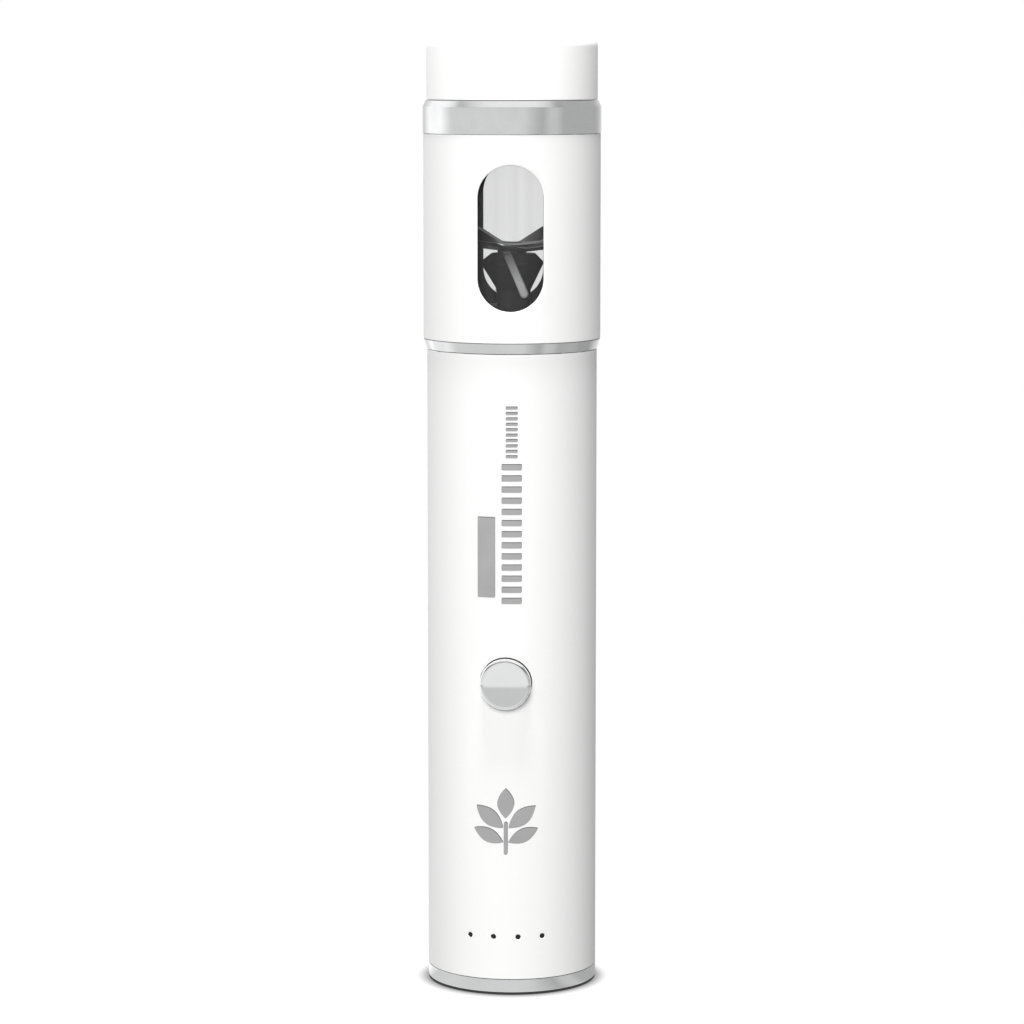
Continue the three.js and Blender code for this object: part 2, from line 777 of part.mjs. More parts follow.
function planetGear(index) {
  const outline = gearOutline(planetTeeth, gearAddendum, gearDedendum, gearBacklash);
  const bore = ring(0, planetPinRadius + slip, gearBottom - 1, gearTop + 1, smallFacets);
  const meshed = placed(cut(prism(outline, gearBottom, gearTop), bore), {
    turn: Math.PI / planetTeeth,
    move: [planetOrbit, 0, 0],
  });
  return placed(meshed, { turn: planetAngle(index) });
}

function planetCarrier() {
  const plate = ring(
    outputShaftRadius + running, ringTipRadius - 0.5, carrierBottom, carrierTop, partFacets,
  );
  const pins = Array.from({ length: planetCount }, (_, i) => {
    const pin = ring(0, planetPinRadius, gearBottom - 0.4, carrierBottom + 1, smallFacets);
    return placed(placed(pin, { move: [planetOrbit, 0, 0] }), { turn: planetAngle(i) });
  });
  return join(plate, ...pins);
}

function gearboxCover() {
  const bore = outputShaftRadius + running;
  const cover = ring(bore, motorRadius, gearboxTop + partingLine, coverTop);
  const threads = [-1, 1].map((side) =>
    placed(ring(0, 1.15, gearboxTop, coverTop + 1, smallFacets), {
      move: [side * collarScrewSpread, 0, 0],
    }),
  );
  return cut(cover, ...threads);
}

function outputShaft() {
  const top = veeBottom - 0.15;
  const shaft = turned([
    [0, carrierBottom], [outputShaftRadius, carrierBottom],
    [outputShaftRadius, top], [0, top],
  ], smallFacets);
  return cut(shaft, countersink(cutterScrewHead, cutterScrewShank, veeTop, 6.5));
}

// ---------------------------------------------------------------- neck

const neckGroove = neckTop - 4.2;
const neckRingRadius = headBore - ringCord - running;

function neckCollar() {
  const grooveHalf = ringCord + slip;
  const grooveFloor = neckRingRadius - ringCord - running;
  const leadIn = 0.6;
  const collar = turned([
    [motorRadius + 0.2, collarBottom], [tubeBore - slip, collarBottom], [tubeBore - slip, tubeTop],
    [neckRadius, tubeTop], [neckRadius, neckGroove - grooveHalf],
    [grooveFloor, neckGroove - grooveHalf], [grooveFloor, neckGroove + grooveHalf],
    [neckRadius, neckGroove + grooveHalf], [neckRadius, neckTop - leadIn],
    [neckRadius - leadIn, neckTop], [sealRadius, neckTop], [sealRadius, neckTop - 2.4],
    [outputShaftRadius + 0.3, neckTop - 2.4], [outputShaftRadius + 0.3, neckFloorBottom],
    [motorRadius + 0.2, neckFloorBottom],
  ]);
  const screws = [-1, 1].map((side) =>
    placed(countersink(2, 1, neckTop, neckFloor + 1), { move: [side * collarScrewSpread, 0, 0] }),
  );
  return cut(collar, ...screws);
}

const collarScrew = (side) =>
  placed(screwDown(2, 1, neckTop - 0.1, 5.5), { move: [side * collarScrewSpread, 0, 0] });

function shaftSeal() {
  const [bottom, top] = [neckTop - 2.4 + slip, neckTop - running];
  return turned([
    [outputShaftRadius + slip, bottom], [sealRadius - slip, bottom], [sealRadius - slip, top],
    [outputShaftRadius + 1.4, top], [outputShaftRadius + 0.8, top - 0.9],
    [outputShaftRadius + slip, top - 0.5],
  ], partFacets);
}

const neckRing = () => oRing(neckRingRadius, neckGroove);

// ---------------------------------------------------------------- cutters

function grindHub() {
  return turned([
    [outputShaftRadius + running, hubBottom], [hubPostRadius, hubBottom],
    [hubPostRadius, hubBottom + 3.9], [hubConeRadius, hubTop - 1.9],
    [hubTopRadius, hubTop], [outputShaftRadius + running, hubTop],
  ], partFacets);
}

const fingerStandOff = hubConeRadius + 0.5;
const fingerReach = fingerStandOff + cutterSheet;

const wingRoot = hubTopRadius - 0.9;

/** The hole that the output shaft takes through a cutter at a level. */
const shaftBore = (level) =>
  ring(0, outputShaftRadius + running, level - 3, level + 3, smallFacets);

/** A stamped washer whose fingers bend down round the hub and lean into the turn. */
function fingerCutter() {
  const top = fingerBottom + cutterSheet;
  const fingers = Array.from({ length: fingerCount }, (_, i) => {
    const halfWidth = fingerWidth / 2;
    const outline = [
      [-halfWidth, 0], ...arc([0, -fingerDrop], halfWidth, Math.PI, 2 * Math.PI, 6), [halfWidth, 0],
    ];
    const hanging = placed(prism(outline, 0, cutterSheet), { turn: Math.PI / 2, about: X });
    const leaning = placed(hanging, { turn: -fingerLean, about: new THREE.Vector3(0, 1, 0) });
    const finger = placed(leaning, { move: [fingerStart, -fingerStandOff, top - 0.55] });
    const armLeft = fingerStart - fingerArm / 2;
    const arm = block([armLeft, -fingerReach, fingerBottom], [armLeft + fingerArm, 0, top]);
    return placed(join(finger, arm), { turn: (2 * Math.PI * i) / fingerCount });
  });
  const washer = ring(0, wingRoot - 0.3, fingerBottom, top, partFacets);
  return cut(join(washer, ...fingers), shaftBore(fingerBottom));
}

/** A blade's outline along +X from its root, with a straight back and a curved cutting edge. */
function bladeOutline(length, rootWidth, tipWidth) {
  const back = -rootWidth / 2;
  const edge = Array.from({ length: 7 }, (_, i) => {
    const share = i / 6;
    const width = rootWidth + (tipWidth - rootWidth) * share ** 2;
    return [length * share, back + width];
  });
  return [[0, back], [length, back + 0.4], ...edge.reverse()];
}

function flatCutter() {
  const outline = bladeOutline(cutterReach - wingRoot, 5.8, 4.2);
  const wings = [0, Math.PI].map((turn) => {
    const wing = prism(outline, 0, cutterSheet);
    const pitched = placed(wing, { turn: flatPitch, about: X, move: [wingRoot, 0, flatBottom] });
    return placed(pitched, { turn });
  });
  const plate = ring(0, wingRoot + 0.4, flatBottom, flatBottom + cutterSheet, partFacets);
  return cut(join(plate, ...wings), shaftBore(flatBottom));
}

function veeCutter() {
  const root = cutterScrewHead + slip;
  const length = (cutterReach - 0.8 - root) / Math.cos(veeBend);
  const wings = [0, Math.PI].map((turn) => {
    const wing = prism(bladeOutline(length, 5, 3.2), 0, cutterSheet);
    const pitched = placed(wing, { turn: veePitch, about: X });
    const raised = placed(pitched, {
      turn: -veeBend, about: new THREE.Vector3(0, 1, 0), move: [root, 0, veeBottom],
    });
    return placed(raised, { turn });
  });
  const plate = block([-root - 0.4, -2.5, veeBottom], [root + 0.4, 2.5, veeTop]);
  const vee = join(plate, ...wings);
  const screwHole = countersink(cutterScrewHead, cutterScrewShank, veeTop, 2);
  return cut(vee, screwHole, ring(0, cutterReach + 1, veeBottom - 3, veeBottom));
}

const cutterScrew = () => screwDown(cutterScrewHead, cutterScrewShank, veeTop - 0.05, 5);

// ---------------------------------------------------------------- head

function bevelRing() {
  const spigotRadius = sleeveBore - slip;
  return turned([
    [headBore, bevelBottom], [bodyRadius, bevelBottom], [sleeveRadius, sleeveBottom - partingLine],
    [spigotRadius, sleeveBottom - partingLine], [spigotRadius, chamberBottom - slip],
    [headBore, chamberBottom - slip],
  ]);
}

function headSleeve() {
  const sleeve = ring(sleeveBore, sleeveRadius, sleeveBottom, sleeveTop);
  const upright = slotOutline(windowHeight, windowWidth, 10).map(([x, y]) => [-y, x]);
  const windows = facingFront(prism(upright, -2 * bodyRadius, 2 * bodyRadius), windowCentre);
  return cut(sleeve, windows);
}

function topRing() {
  const outer = sleeveRadius + topRingProud;
  const lip = chamberNeckRadius + slip;
  return turned([
    [sleeveBore, sleeveTop + partingLine], [outer, sleeveTop + partingLine],
    [outer, topRingTop - topRingBevel], [capRadius + 0.15, topRingTop],
    [lip, topRingTop], [lip, chamberShoulder + slip], [sleeveBore, chamberShoulder + slip],
  ]);
}

const capGroove = chamberTop - 3.3;
const capRingRadius = capBore - ringCord - running;

function chamber() {
  const grooveHalf = ringCord + slip;
  const grooveFloor = capRingRadius - ringCord - running;
  return turned([
    [chamberBore, chamberBottom], [chamberOuter, chamberBottom], [chamberOuter, chamberShoulder],
    [chamberNeckRadius, chamberShoulder], [chamberNeckRadius, capGroove - grooveHalf],
    [grooveFloor, capGroove - grooveHalf], [grooveFloor, capGroove + grooveHalf],
    [chamberNeckRadius, capGroove + grooveHalf], [chamberNeckRadius, chamberTop - 0.4],
    [chamberNeckRadius - 0.4, chamberTop], [chamberBore, chamberTop],
  ]);
}

const capRing = () => oRing(capRingRadius, capGroove);

function cap() {
  const innerCorner = capCorner - capWall;
  const innerTop = capTopLevel - capTop;
  const outside = arc(
    [capRadius - capCorner, capTopLevel - capCorner], capCorner, 0, Math.PI / 2, 5,
  );
  const inside = arc([capBore - innerCorner, innerTop - innerCorner], innerCorner, Math.PI / 2, 0, 3);
  return turned([
    [capBore, capBottom], [capRadius, capBottom], ...outside, [0, capTopLevel],
    [0, innerTop], ...inside,
  ]);
}

// ---------------------------------------------------------------- wires

/** A lead from the switch board's upper end to a motor terminal. side is 1 on the right. */
function motorLead(side) {
  const level = switchBoardBottom + switchBoardLength;
  return wire([
    [side * 5, switchBoardFace + 2, level - 3], [side * 6.5, switchBoardFace + 2.2, level - 1],
    [side * 10, -4.5, level + 1], [side * 11.2, -2.5, endCapBottom - 4],
    [side * 9.6, -1.4, endCapBottom - 2],
  ], 14);
}

/** The lead from the cell's lower tab, along the chassis, to the switch board's lower end. */
function cellLead() {
  const front = cellSetback - cellRadius - 0.35 - tabThickness - wireRadius - 0.1;
  return wire([
    [0, front, cellBottom + 5], [-1.5, front - 1, cellBottom + 9],
    [-4, switchBoardFace + 2, switchBoardBottom - 6], [-5, switchBoardFace + 2, switchBoardBottom + 4],
  ], 16);
}

// ---------------------------------------------------------------- assembly

const body = new THREE.Group();
body.add(
  piece("foot_pad", footPad(), rubber),
  piece("base_plug", basePlug(), blackPlastic),
  piece("base_ring", baseRing(), brushedAluminium),
  piece("body_tube", bodyTube(), whitePaint),
  piece("chassis_rear", chassisRear(), blackPlastic),
  piece("chassis_front", chassisFront(), blackPlastic),
  piece("charge_board", chargeBoard(), boardGreen),
  piece("charge_socket", chargeSocket(), steel),
  piece("charge_socket_insert", socketInsert(), blackPlastic),
  piece("light_pipe", lightPipe(), smokedPlastic),
  piece("cell", cell(), cellWrap),
  piece("cell_tab_top", cellTab(cellTop + tabThickness, 1), nickel),
  piece("cell_tab_bottom", cellTab(cellBottom - tabThickness, -1), nickel),
  piece("push_button", pushButton(), chrome),
  piece("switch_plunger", switchPlunger(), blackPlastic),
  piece("switch_housing", switchHousing(), blackPlastic),
  piece("switch_board", switchBoard(), boardGreen),
  piece("cell_lead", cellLead(), blackInsulation),
  piece("motor_lead_red", motorLead(1), redInsulation),
  piece("motor_lead_black", motorLead(-1), blackInsulation),
);
baseScrews.forEach((move, i) => body.add(piece(`base_screw_${i + 1}`, baseScrew(move), zinc)));
lightAzimuths.forEach((azimuth, i) =>
  body.add(piece(`charge_light_${i + 1}`, light(azimuth), lightPackage)),
);

const drive = new THREE.Group();
drive.add(
  piece("motor_can", motorCan(), steel),
  piece("motor_end_cap", motorEndCap(), blackPlastic),
  piece("motor_terminal_left", motorTerminal(-1), copper),
  piece("motor_terminal_right", motorTerminal(1), copper),
  piece("motor_magnet_left", motorMagnet(-1), ferrite),
  piece("motor_magnet_right", motorMagnet(1), ferrite),
  piece("motor_shaft", motorShaft(), steel),
  piece("armature_core", armatureCore(), steel),
  piece("armature_winding", armatureWinding(), copper),
  piece("commutator", commutator(), copper),
  piece("sun_gear", sunGear(), bronze),
  piece("ring_gear", ringGear(), gearNylon),
  piece("planet_carrier", planetCarrier(), zinc),
  piece("output_shaft", outputShaft(), steel),
  piece("gearbox_cover", gearboxCover(), zinc),
);
for (let i = 0; i < planetCount; i += 1) {
  drive.add(piece(`planet_gear_${i + 1}`, planetGear(i), gearNylon));
}

const neck = new THREE.Group();
neck.add(
  piece("neck_collar", neckCollar(), blackPlastic),
  piece("neck_o_ring", neckRing(), siliconeRubber),
  piece("shaft_seal", shaftSeal(), siliconeRubber),
  piece("collar_screw_left", collarScrew(-1), zinc),
  piece("collar_screw_right", collarScrew(1), zinc),
);

const cutters = new THREE.Group();
cutters.add(
  piece("grind_hub", grindHub(), blackPlastic),
  piece("finger_cutter", fingerCutter(), steel),
  piece("flat_cutter", flatCutter(), blackCutter),
  piece("vee_cutter", veeCutter(), blackCutter),
  piece("cutter_screw", cutterScrew(), steel),
);

const head = new THREE.Group();
head.rotation.z = headTurned;
head.add(
  piece("bevel_ring", bevelRing(), brushedAluminium),
  piece("head_sleeve", headSleeve(), whitePaint),
  piece("top_ring", topRing(), brushedAluminium),
  piece("chamber", chamber(), clearPlastic),
  piece("cap_o_ring", capRing(), siliconeRubber),
  piece("cap", cap(), whitePaint),
);

const grinder = new THREE.Group();
grinder.add(body, drive, neck, cutters, head);

export default grinder;
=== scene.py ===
"""A rechargeable pen grinder for dry herbs and spices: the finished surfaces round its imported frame.

A painted tube stands on an aluminium base ring, with a thumb button and four charge lights. Above
its neck, a head with a window on each side holds a clear chamber, and a cap closes the chamber.
Black cutters on the output shaft turn inside it.

Sizes are millimetres in the frame's own axes: +Z is up and the button faces -Y. MM turns them into
Blender's metres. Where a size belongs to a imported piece, it is read from that piece's box.
"""

from __future__ import annotations

import logging
import math
from collections.abc import Iterable, Mapping, Sequence
from dataclasses import dataclass, field
from enum import Enum
from typing import Any

import bmesh
import bpy
from mathutils import Matrix, Vector

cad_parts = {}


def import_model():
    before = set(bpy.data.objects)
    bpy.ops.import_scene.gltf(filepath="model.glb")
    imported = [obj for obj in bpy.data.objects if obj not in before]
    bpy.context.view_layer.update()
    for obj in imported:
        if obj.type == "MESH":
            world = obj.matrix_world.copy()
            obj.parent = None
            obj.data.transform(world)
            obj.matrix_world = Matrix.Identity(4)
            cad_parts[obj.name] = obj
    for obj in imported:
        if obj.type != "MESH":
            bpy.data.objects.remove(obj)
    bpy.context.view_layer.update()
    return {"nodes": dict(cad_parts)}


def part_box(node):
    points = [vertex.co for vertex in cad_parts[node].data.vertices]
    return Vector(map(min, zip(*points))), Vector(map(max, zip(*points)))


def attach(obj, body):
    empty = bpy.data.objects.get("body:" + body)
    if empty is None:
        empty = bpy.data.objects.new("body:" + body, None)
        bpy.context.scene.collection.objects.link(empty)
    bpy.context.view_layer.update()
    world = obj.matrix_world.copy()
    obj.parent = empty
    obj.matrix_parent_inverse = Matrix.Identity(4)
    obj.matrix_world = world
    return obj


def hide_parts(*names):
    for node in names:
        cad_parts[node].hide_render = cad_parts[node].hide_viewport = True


log = logging.getLogger("herb_grinder")

MM = 0.001
FULL_TURN = 2 * math.pi
SHARP_ANGLE = math.radians(32)
WELD = 2e-7  # metres: points nearer than this are one point
FRONT, REAR = 0, 150  # columns of a pierced tube
PARTING = 0.1  # the visible line between a painted tube and a ring
TUBE_WALL = 1.2
SHELL_RIM = 0.07  # how far the painted tubes' rims are rounded
BUTTON_RADIUS = 5.25
GROOVE_HALF = 0.61  # half the width of an O-ring's groove
CORD = 0.46  # the radius of an O-ring's cord

Point = tuple[float, float]
Corner = tuple[float, float, float]
Colour = tuple[float, float, float]
Flutes = tuple[int, float, float, float]  # how many, how deep, and their two end radii
UPRIGHT = Matrix.Identity(4)
TO_FRONT = Matrix.Rotation(math.pi / 2, 4, "X")  # what was made along +Z points to -Y


# ------------------------------------------------------------------------------- the frame


@dataclass(frozen=True)
class Extent:
    """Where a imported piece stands, in millimetres."""

    low: Vector
    high: Vector

    @classmethod
    def of(cls, node: str) -> Extent:
        """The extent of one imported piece.

        Args:
            node: The piece's name in the frame.

        Returns:
            Its lowest and highest corners.
        """
        low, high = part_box(node)
        return cls(low / MM, high / MM)

    @property
    def radius(self) -> float:
        """Half the width of a turned piece."""
        return (self.high.x - self.low.x) / 2

    @property
    def bottom(self) -> float:
        """The piece's lowest level."""
        return self.low.z

    @property
    def top(self) -> float:
        """The piece's highest level."""
        return self.high.z

    @property
    def middle(self) -> Vector:
        """The middle of the piece's box."""
        return (self.low + self.high) / 2


# ------------------------------------------------------------------------------- node trees


class Value:
    """A socket that takes part in sums: each operator adds the Math node for it."""

    def __init__(self, graph: Graph, socket: bpy.types.NodeSocket) -> None:
        """Wraps an output socket of a graph."""
        self.graph = graph
        self.socket = socket

    def _math(self, operation: str, *operands: Any) -> Value:
        """One Math node.

        Args:
            operation: The node's operation.
            operands: Numbers or values, in the node's order.

        Returns:
            The node's result.
        """
        sockets = dict(enumerate(operands))
        return self.graph.out("ShaderNodeMath", {"operation": operation}, sockets)

    def __add__(self, other: Any) -> Value:
        """Sum."""
        return self._math("ADD", self, other)

    def __radd__(self, other: Any) -> Value:
        """Sum with a number on the left."""
        return self._math("ADD", other, self)

    def __sub__(self, other: Any) -> Value:
        """Difference."""
        return self._math("SUBTRACT", self, other)

    def __rsub__(self, other: Any) -> Value:
        """Difference from a number."""
        return self._math("SUBTRACT", other, self)

    def __mul__(self, other: Any) -> Value:
        """Product."""
        return self._math("MULTIPLY", self, other)

    def __rmul__(self, other: Any) -> Value:
        """Product with a number on the left."""
        return self._math("MULTIPLY", other, self)

    def __truediv__(self, other: Any) -> Value:
        """Quotient."""
        return self._math("DIVIDE", self, other)

    def __rtruediv__(self, other: Any) -> Value:
        """Quotient of a number."""
        return self._math("DIVIDE", other, self)

    def __mod__(self, other: Any) -> Value:
        """Remainder."""
        return self._math("MODULO", self, other)

    def __lt__(self, other: Any) -> Value:
        """1 where the value is below the other."""
        return self._math("LESS_THAN", self, other)

    def __gt__(self, other: Any) -> Value:
        """1 where the value is above the other."""
        return self._math("GREATER_THAN", self, other)

    def __abs__(self) -> Value:
        """Size without its sign."""
        return self._math("ABSOLUTE", self)

    def apply(self, operation: str, *others: Any) -> Value:
        """Any other Math operation on this value, such as SINE, FLOOR or ARCTAN2."""
        return self._math(operation, self, *others)

    def between(self, low: float, high: float) -> Value:
        """0 below low, 1 above high, and a straight ramp between them."""
        sockets = {0: self, 1: low, 2: high}
        return self.graph.out("ShaderNodeMapRange", {"clamp": True}, sockets)


class Graph:
    """A node tree that is being built."""

    def __init__(self, tree: bpy.types.NodeTree) -> None:
        """Starts from an empty tree."""
        self.tree = tree
        self.tree.nodes.clear()

    def node(
        self, kind: str, settings: Mapping[str, Any] | None = None,
        sockets: Mapping[Any, Any] | None = None,
    ) -> bpy.types.Node:
        """Adds one node.

        Args:
            kind: The node's type.
            settings: Its settings, set first. "stops" are a ramp's (place, colour) pairs.
            sockets: A number, colour, vector or link for each socket, by name or index.

        Returns:
            The node.
        """
        made = self.tree.nodes.new(kind)
        for name, setting in (settings or {}).items():
            if name == "stops":
                self._set_stops(made.color_ramp, setting)
            else:
                setattr(made, name, setting)
        for name, given in (sockets or {}).items():
            self._connect(made.inputs[name], given)
        return made

    def out(
        self, kind: str, settings: Mapping[str, Any] | None = None,
        sockets: Mapping[Any, Any] | None = None, output: Any = 0,
    ) -> Value:
        """Adds one node and gives one of its outputs.

        Args:
            kind: The node's type.
            settings: Its settings.
            sockets: Its sockets' values or links.
            output: The name or index of the output.

        Returns:
            The output.
        """
        return Value(self, self.node(kind, settings, sockets).outputs[output])

    def _connect(self, socket: bpy.types.NodeSocket, given: Any) -> None:
        """Links a value to a socket, or sets the socket."""
        if isinstance(given, Value):
            self.tree.links.new(given.socket, socket)
        else:
            socket.default_value = given

    @staticmethod
    def _set_stops(ramp: bpy.types.ColorRamp, stops: Sequence[tuple[float, Colour]]) -> None:
        """Gives a ramp its stops."""
        while len(ramp.elements) < len(stops):
            ramp.elements.new(1.0)
        for element, (place, colour) in zip(ramp.elements, stops):
            element.position = place
            element.color = (*colour, 1)

    def split(self, vector: Value) -> tuple[Value, Value, Value]:
        """The three numbers of a vector."""
        made = self.node("ShaderNodeSeparateXYZ", None, {0: vector})
        x, y, z = (Value(self, made.outputs[i]) for i in range(3))
        return x, y, z

    def joined(self, x: Any, y: Any, z: Any) -> Value:
        """A vector of three numbers."""
        return self.out("ShaderNodeCombineXYZ", None, {0: x, 1: y, 2: z})

    def place(self) -> Value:
        """The point on the surface, in the piece's own metres."""
        return self.out("ShaderNodeTexCoord", None, None, "Object")

    def noise(self, scale: float, detail: float = 2.0, along: Value | None = None) -> Value:
        """Smooth noise from 0 to 1.

        Args:
            scale: How many times it changes in a metre.
            detail: How many finer layers it has.
            along: A number that it runs along; without one it fills space.

        Returns:
            The noise.
        """
        if along is None:
            sockets = {"Vector": self.place(), "Scale": scale, "Detail": detail}
            return self.out("ShaderNodeTexNoise", None, sockets)
        sockets = {"W": along, "Scale": scale, "Detail": detail}
        return self.out("ShaderNodeTexNoise", {"noise_dimensions": "1D"}, sockets)

    def blend(self, share: Value, first: Any, second: Any) -> Value:
        """A colour between two colours."""
        settings = {"data_type": "RGBA", "clamp_factor": True}
        return self.out("ShaderNodeMix", settings, {0: share, 6: first, 7: second}, 2)

    def bump(self, height: Value, depth: float, strength: float = 1.0) -> Value:
        """The normal of a surface with small relief.

        Args:
            height: The relief, from 0 to 1.
            depth: How deep it is, in millimetres.
            strength: How much of it shows.

        Returns:
            The normal.
        """
        sockets = {"Strength": strength, "Distance": depth * MM, "Height": height}
        return self.out("ShaderNodeBump", None, sockets)


def shade(colour: Colour, factor: float) -> tuple[float, float, float, float]:
    """A colour made lighter or darker, as a socket takes it."""
    return (*(min(1.0, part * factor) for part in colour), 1.0)


# ------------------------------------------------------------------------------- finishes


@dataclass(frozen=True)
class Finish:
    """What a surface is made of.

    slot is the record's material slot, with an ending where a slot has more than one finish.
    """

    slot: str
    colour: Colour
    roughness: float = 0.5

    def material(self) -> bpy.types.Material:
        """The finish's material, made once.

        Returns:
            The material.
        """
        made = bpy.data.materials.get(self.name)
        if made is None:
            made = bpy.data.materials.new(self.name)
            made.use_nodes = True
            graph = Graph(made.node_tree)
            surface = self.surface(graph)
            graph.node("ShaderNodeOutputMaterial", None, {"Surface": surface})
        return made

    @property
    def name(self) -> str:
        """The material's name."""
        return f"finish_{self.slot}"

    def surface(self, graph: Graph) -> Value:
        """The finish's shader. Each kind of finish has its own."""
        raise NotImplementedError

    def principled(self, graph: Graph, sockets: Mapping[Any, Any]) -> Value:
        """A Principled shader with those sockets."""
        return graph.out("ShaderNodeBsdfPrincipled", None, sockets)


@dataclass(frozen=True)
class Paint(Finish):
    """Sprayed paint with a fine speckle, and an unpainted dark lining inside some radius."""

    speckle: float = 0.012
    lining_radius: float = 0.0
    lining: Colour = (0.04, 0.04, 0.041)

    @property
    def name(self) -> str:
        """The material's name."""
        return f"finish_{self.slot}_lined" if self.lining_radius else f"finish_{self.slot}"

    def surface(self, graph: Graph) -> Value:
        """Speckled colour over a very slight orange peel."""
        grain = graph.noise(5200, 2)
        peel = graph.noise(900, 3)
        light, dark = shade(self.colour, 1 + self.speckle), shade(self.colour, 1 - self.speckle)
        colour = graph.blend(grain.between(0.35, 0.65), dark, light)
        if self.lining_radius:
            x, y, _ = graph.split(graph.place())
            radius = (x * x + y * y).apply("SQRT")
            inside = radius < self.lining_radius * MM
            colour = graph.blend(inside, colour, shade(self.lining, 1))
        return self.principled(graph, {
            "Base Color": colour,
            "Roughness": self.roughness + 0.12 * (peel - 0.5),
            "Specular IOR Level": 0.35,
            "Normal": graph.bump(grain * 0.4 + peel, 0.02, 0.35),
        })


class Grain(Enum):
    """Which way a metal's tool marks run."""

    TURNED = "turned"
    POLISHED = "polished"
    BLASTED = "blasted"


@dataclass(frozen=True)
class Metal(Finish):
    """Bare metal, with the marks of how it was worked.

    Its last field gives the levels between which a painted shade begins and is full, darkening the metal
    upwards where parts above would shadow it, or zeros for none.
    """

    grain: Grain = Grain.TURNED
    marks: float = 0.06
    cloud: float = 0.05
    metallic: float = 1.0
    painted_shade_levels: tuple[float, float] = (0.0, 0.0)

    def surface(self, graph: Graph) -> Value:
        """Tool marks in roughness and relief, and a faint cloud in the colour."""
        x, y, z = graph.split(graph.place())
        radius = (x * x + y * y).apply("SQRT")
        if self.grain is Grain.TURNED:
            lines = graph.noise(9000, 3, z + 0.8 * radius)
            relief = 0.004
        elif self.grain is Grain.BLASTED:
            lines = graph.noise(6500, 3)
            relief = 0.02
        else:
            lines = graph.noise(260, 4)
            relief = 0.0008
        cloud = graph.noise(210, 4)
        light, dark = shade(self.colour, 1 + self.cloud), shade(self.colour, 1 - self.cloud)
        colour = graph.blend((cloud * 0.7 + lines * 0.3).between(0.3, 0.7), dark, light)
        # Painted shade: between the two levels the colour darkens to near black, as if the parts above
        # shadowed it.
        if self.painted_shade_levels[1]:
            low, high = self.painted_shade_levels
            painted_shade_share = z.between(low * MM, high * MM)
            colour = graph.blend(painted_shade_share, colour, shade(self.colour, 0.05))
        return self.principled(graph, {
            "Base Color": colour,
            "Metallic": self.metallic,
            "Roughness": self.roughness + self.marks * (lines - 0.5) * 2,
            "Normal": graph.bump(lines, relief, 0.5),
        })


@dataclass(frozen=True)
class Moulded(Finish):
    """Moulded plastic, rubber or nylon with a fine texture from the mould."""

    texture: float = 0.01
    coarseness: float = 4200
    mottle: float = 0.06
    specular: float = 0.5

    def surface(self, graph: Graph) -> Value:
        """Slightly mottled colour over the mould's texture."""
        fine = graph.noise(self.coarseness, 2)
        flow = graph.noise(160, 3)
        light, dark = shade(self.colour, 1 + self.mottle), shade(self.colour, 1 - self.mottle)
        return self.principled(graph, {
            "Base Color": graph.blend(flow.between(0.3, 0.7), dark, light),
            "Roughness": self.roughness + 0.08 * (fine - 0.5),
            "Specular IOR Level": self.specular,
            "Normal": graph.bump(fine, self.texture, 0.5),
        })


@dataclass(frozen=True)
class Clear(Finish):
    """Clear moulded plastic: a thin bright film that lets the rest through."""

    film: float = 0.02
    edge: float = 0.5
    tint: Colour = (0.94, 0.941, 0.941)

    def surface(self, graph: Graph) -> Value:
        """Transparent, with gloss where the surface turns away and faint upright streaks in its gloss
        and tint.
        """
        x, y, _ = graph.split(graph.place())
        turn = y.apply("ARCTAN2", x)
        streaks = graph.noise(9, 3, turn)
        facing = graph.out("ShaderNodeLayerWeight", None, {"Blend": 0.28}, "Fresnel")
        gloss = self.principled(graph, {
            "Base Color": (*self.colour, 1),
            "Roughness": self.roughness + 0.03 * streaks,
            "Specular IOR Level": 0.6,
        })
        tinted = graph.blend(streaks.between(0.3, 0.7), shade(self.tint, 0.985), shade(self.tint, 1.01))
        through = graph.out("ShaderNodeBsdfTransparent", None, {"Color": tinted})
        share = (self.film * (0.5 + streaks) + self.edge * facing).between(0, 1)
        return graph.out("ShaderNodeMixShader", None, {0: share, 1: through, 2: gloss})


@dataclass(frozen=True)
class BoardLacquer(Finish):
    """Green lacquer over copper tracks."""

    track: Colour = (0.02, 0.16, 0.07)

    def surface(self, graph: Graph) -> Value:
        """Tracks that stand a little proud under the lacquer."""
        x, y, z = graph.split(graph.place())
        stripes = ((x + z) * 5200).apply("SINE") * ((y - z) * 3100).apply("SINE")
        tracks = stripes.between(0.05, 0.2)
        return self.principled(graph, {
            "Base Color": graph.blend(tracks, (*self.colour, 1), (*self.track, 1)),
            "Roughness": self.roughness + 0.1 * graph.noise(900, 2),
            "Normal": graph.bump(tracks, 0.03, 0.6),
        })


@dataclass(frozen=True)
class Wrap(Finish):
    """Shrink film on a cell: glossy, with fine creases along it."""

    def surface(self, graph: Graph) -> Value:
        """Creases that run along the cell, with painted shade in their hollows and painted light on
        their ridges.
        """
        x, y, z = graph.split(graph.place())
        creases = graph.noise(14, 4, y.apply("ARCTAN2", x) + z * 2)
        # Painted shade and light: the colour follows the creases' relief, darker in their hollows and
        # lighter on their ridges.
        light, dark = shade(self.colour, 1.12), shade(self.colour, 0.9)
        return self.principled(graph, {
            "Base Color": graph.blend(creases, dark, light),
            "Roughness": self.roughness + 0.12 * (creases - 0.5),
            "Normal": graph.bump(creases, 0.03, 0.5),
        })


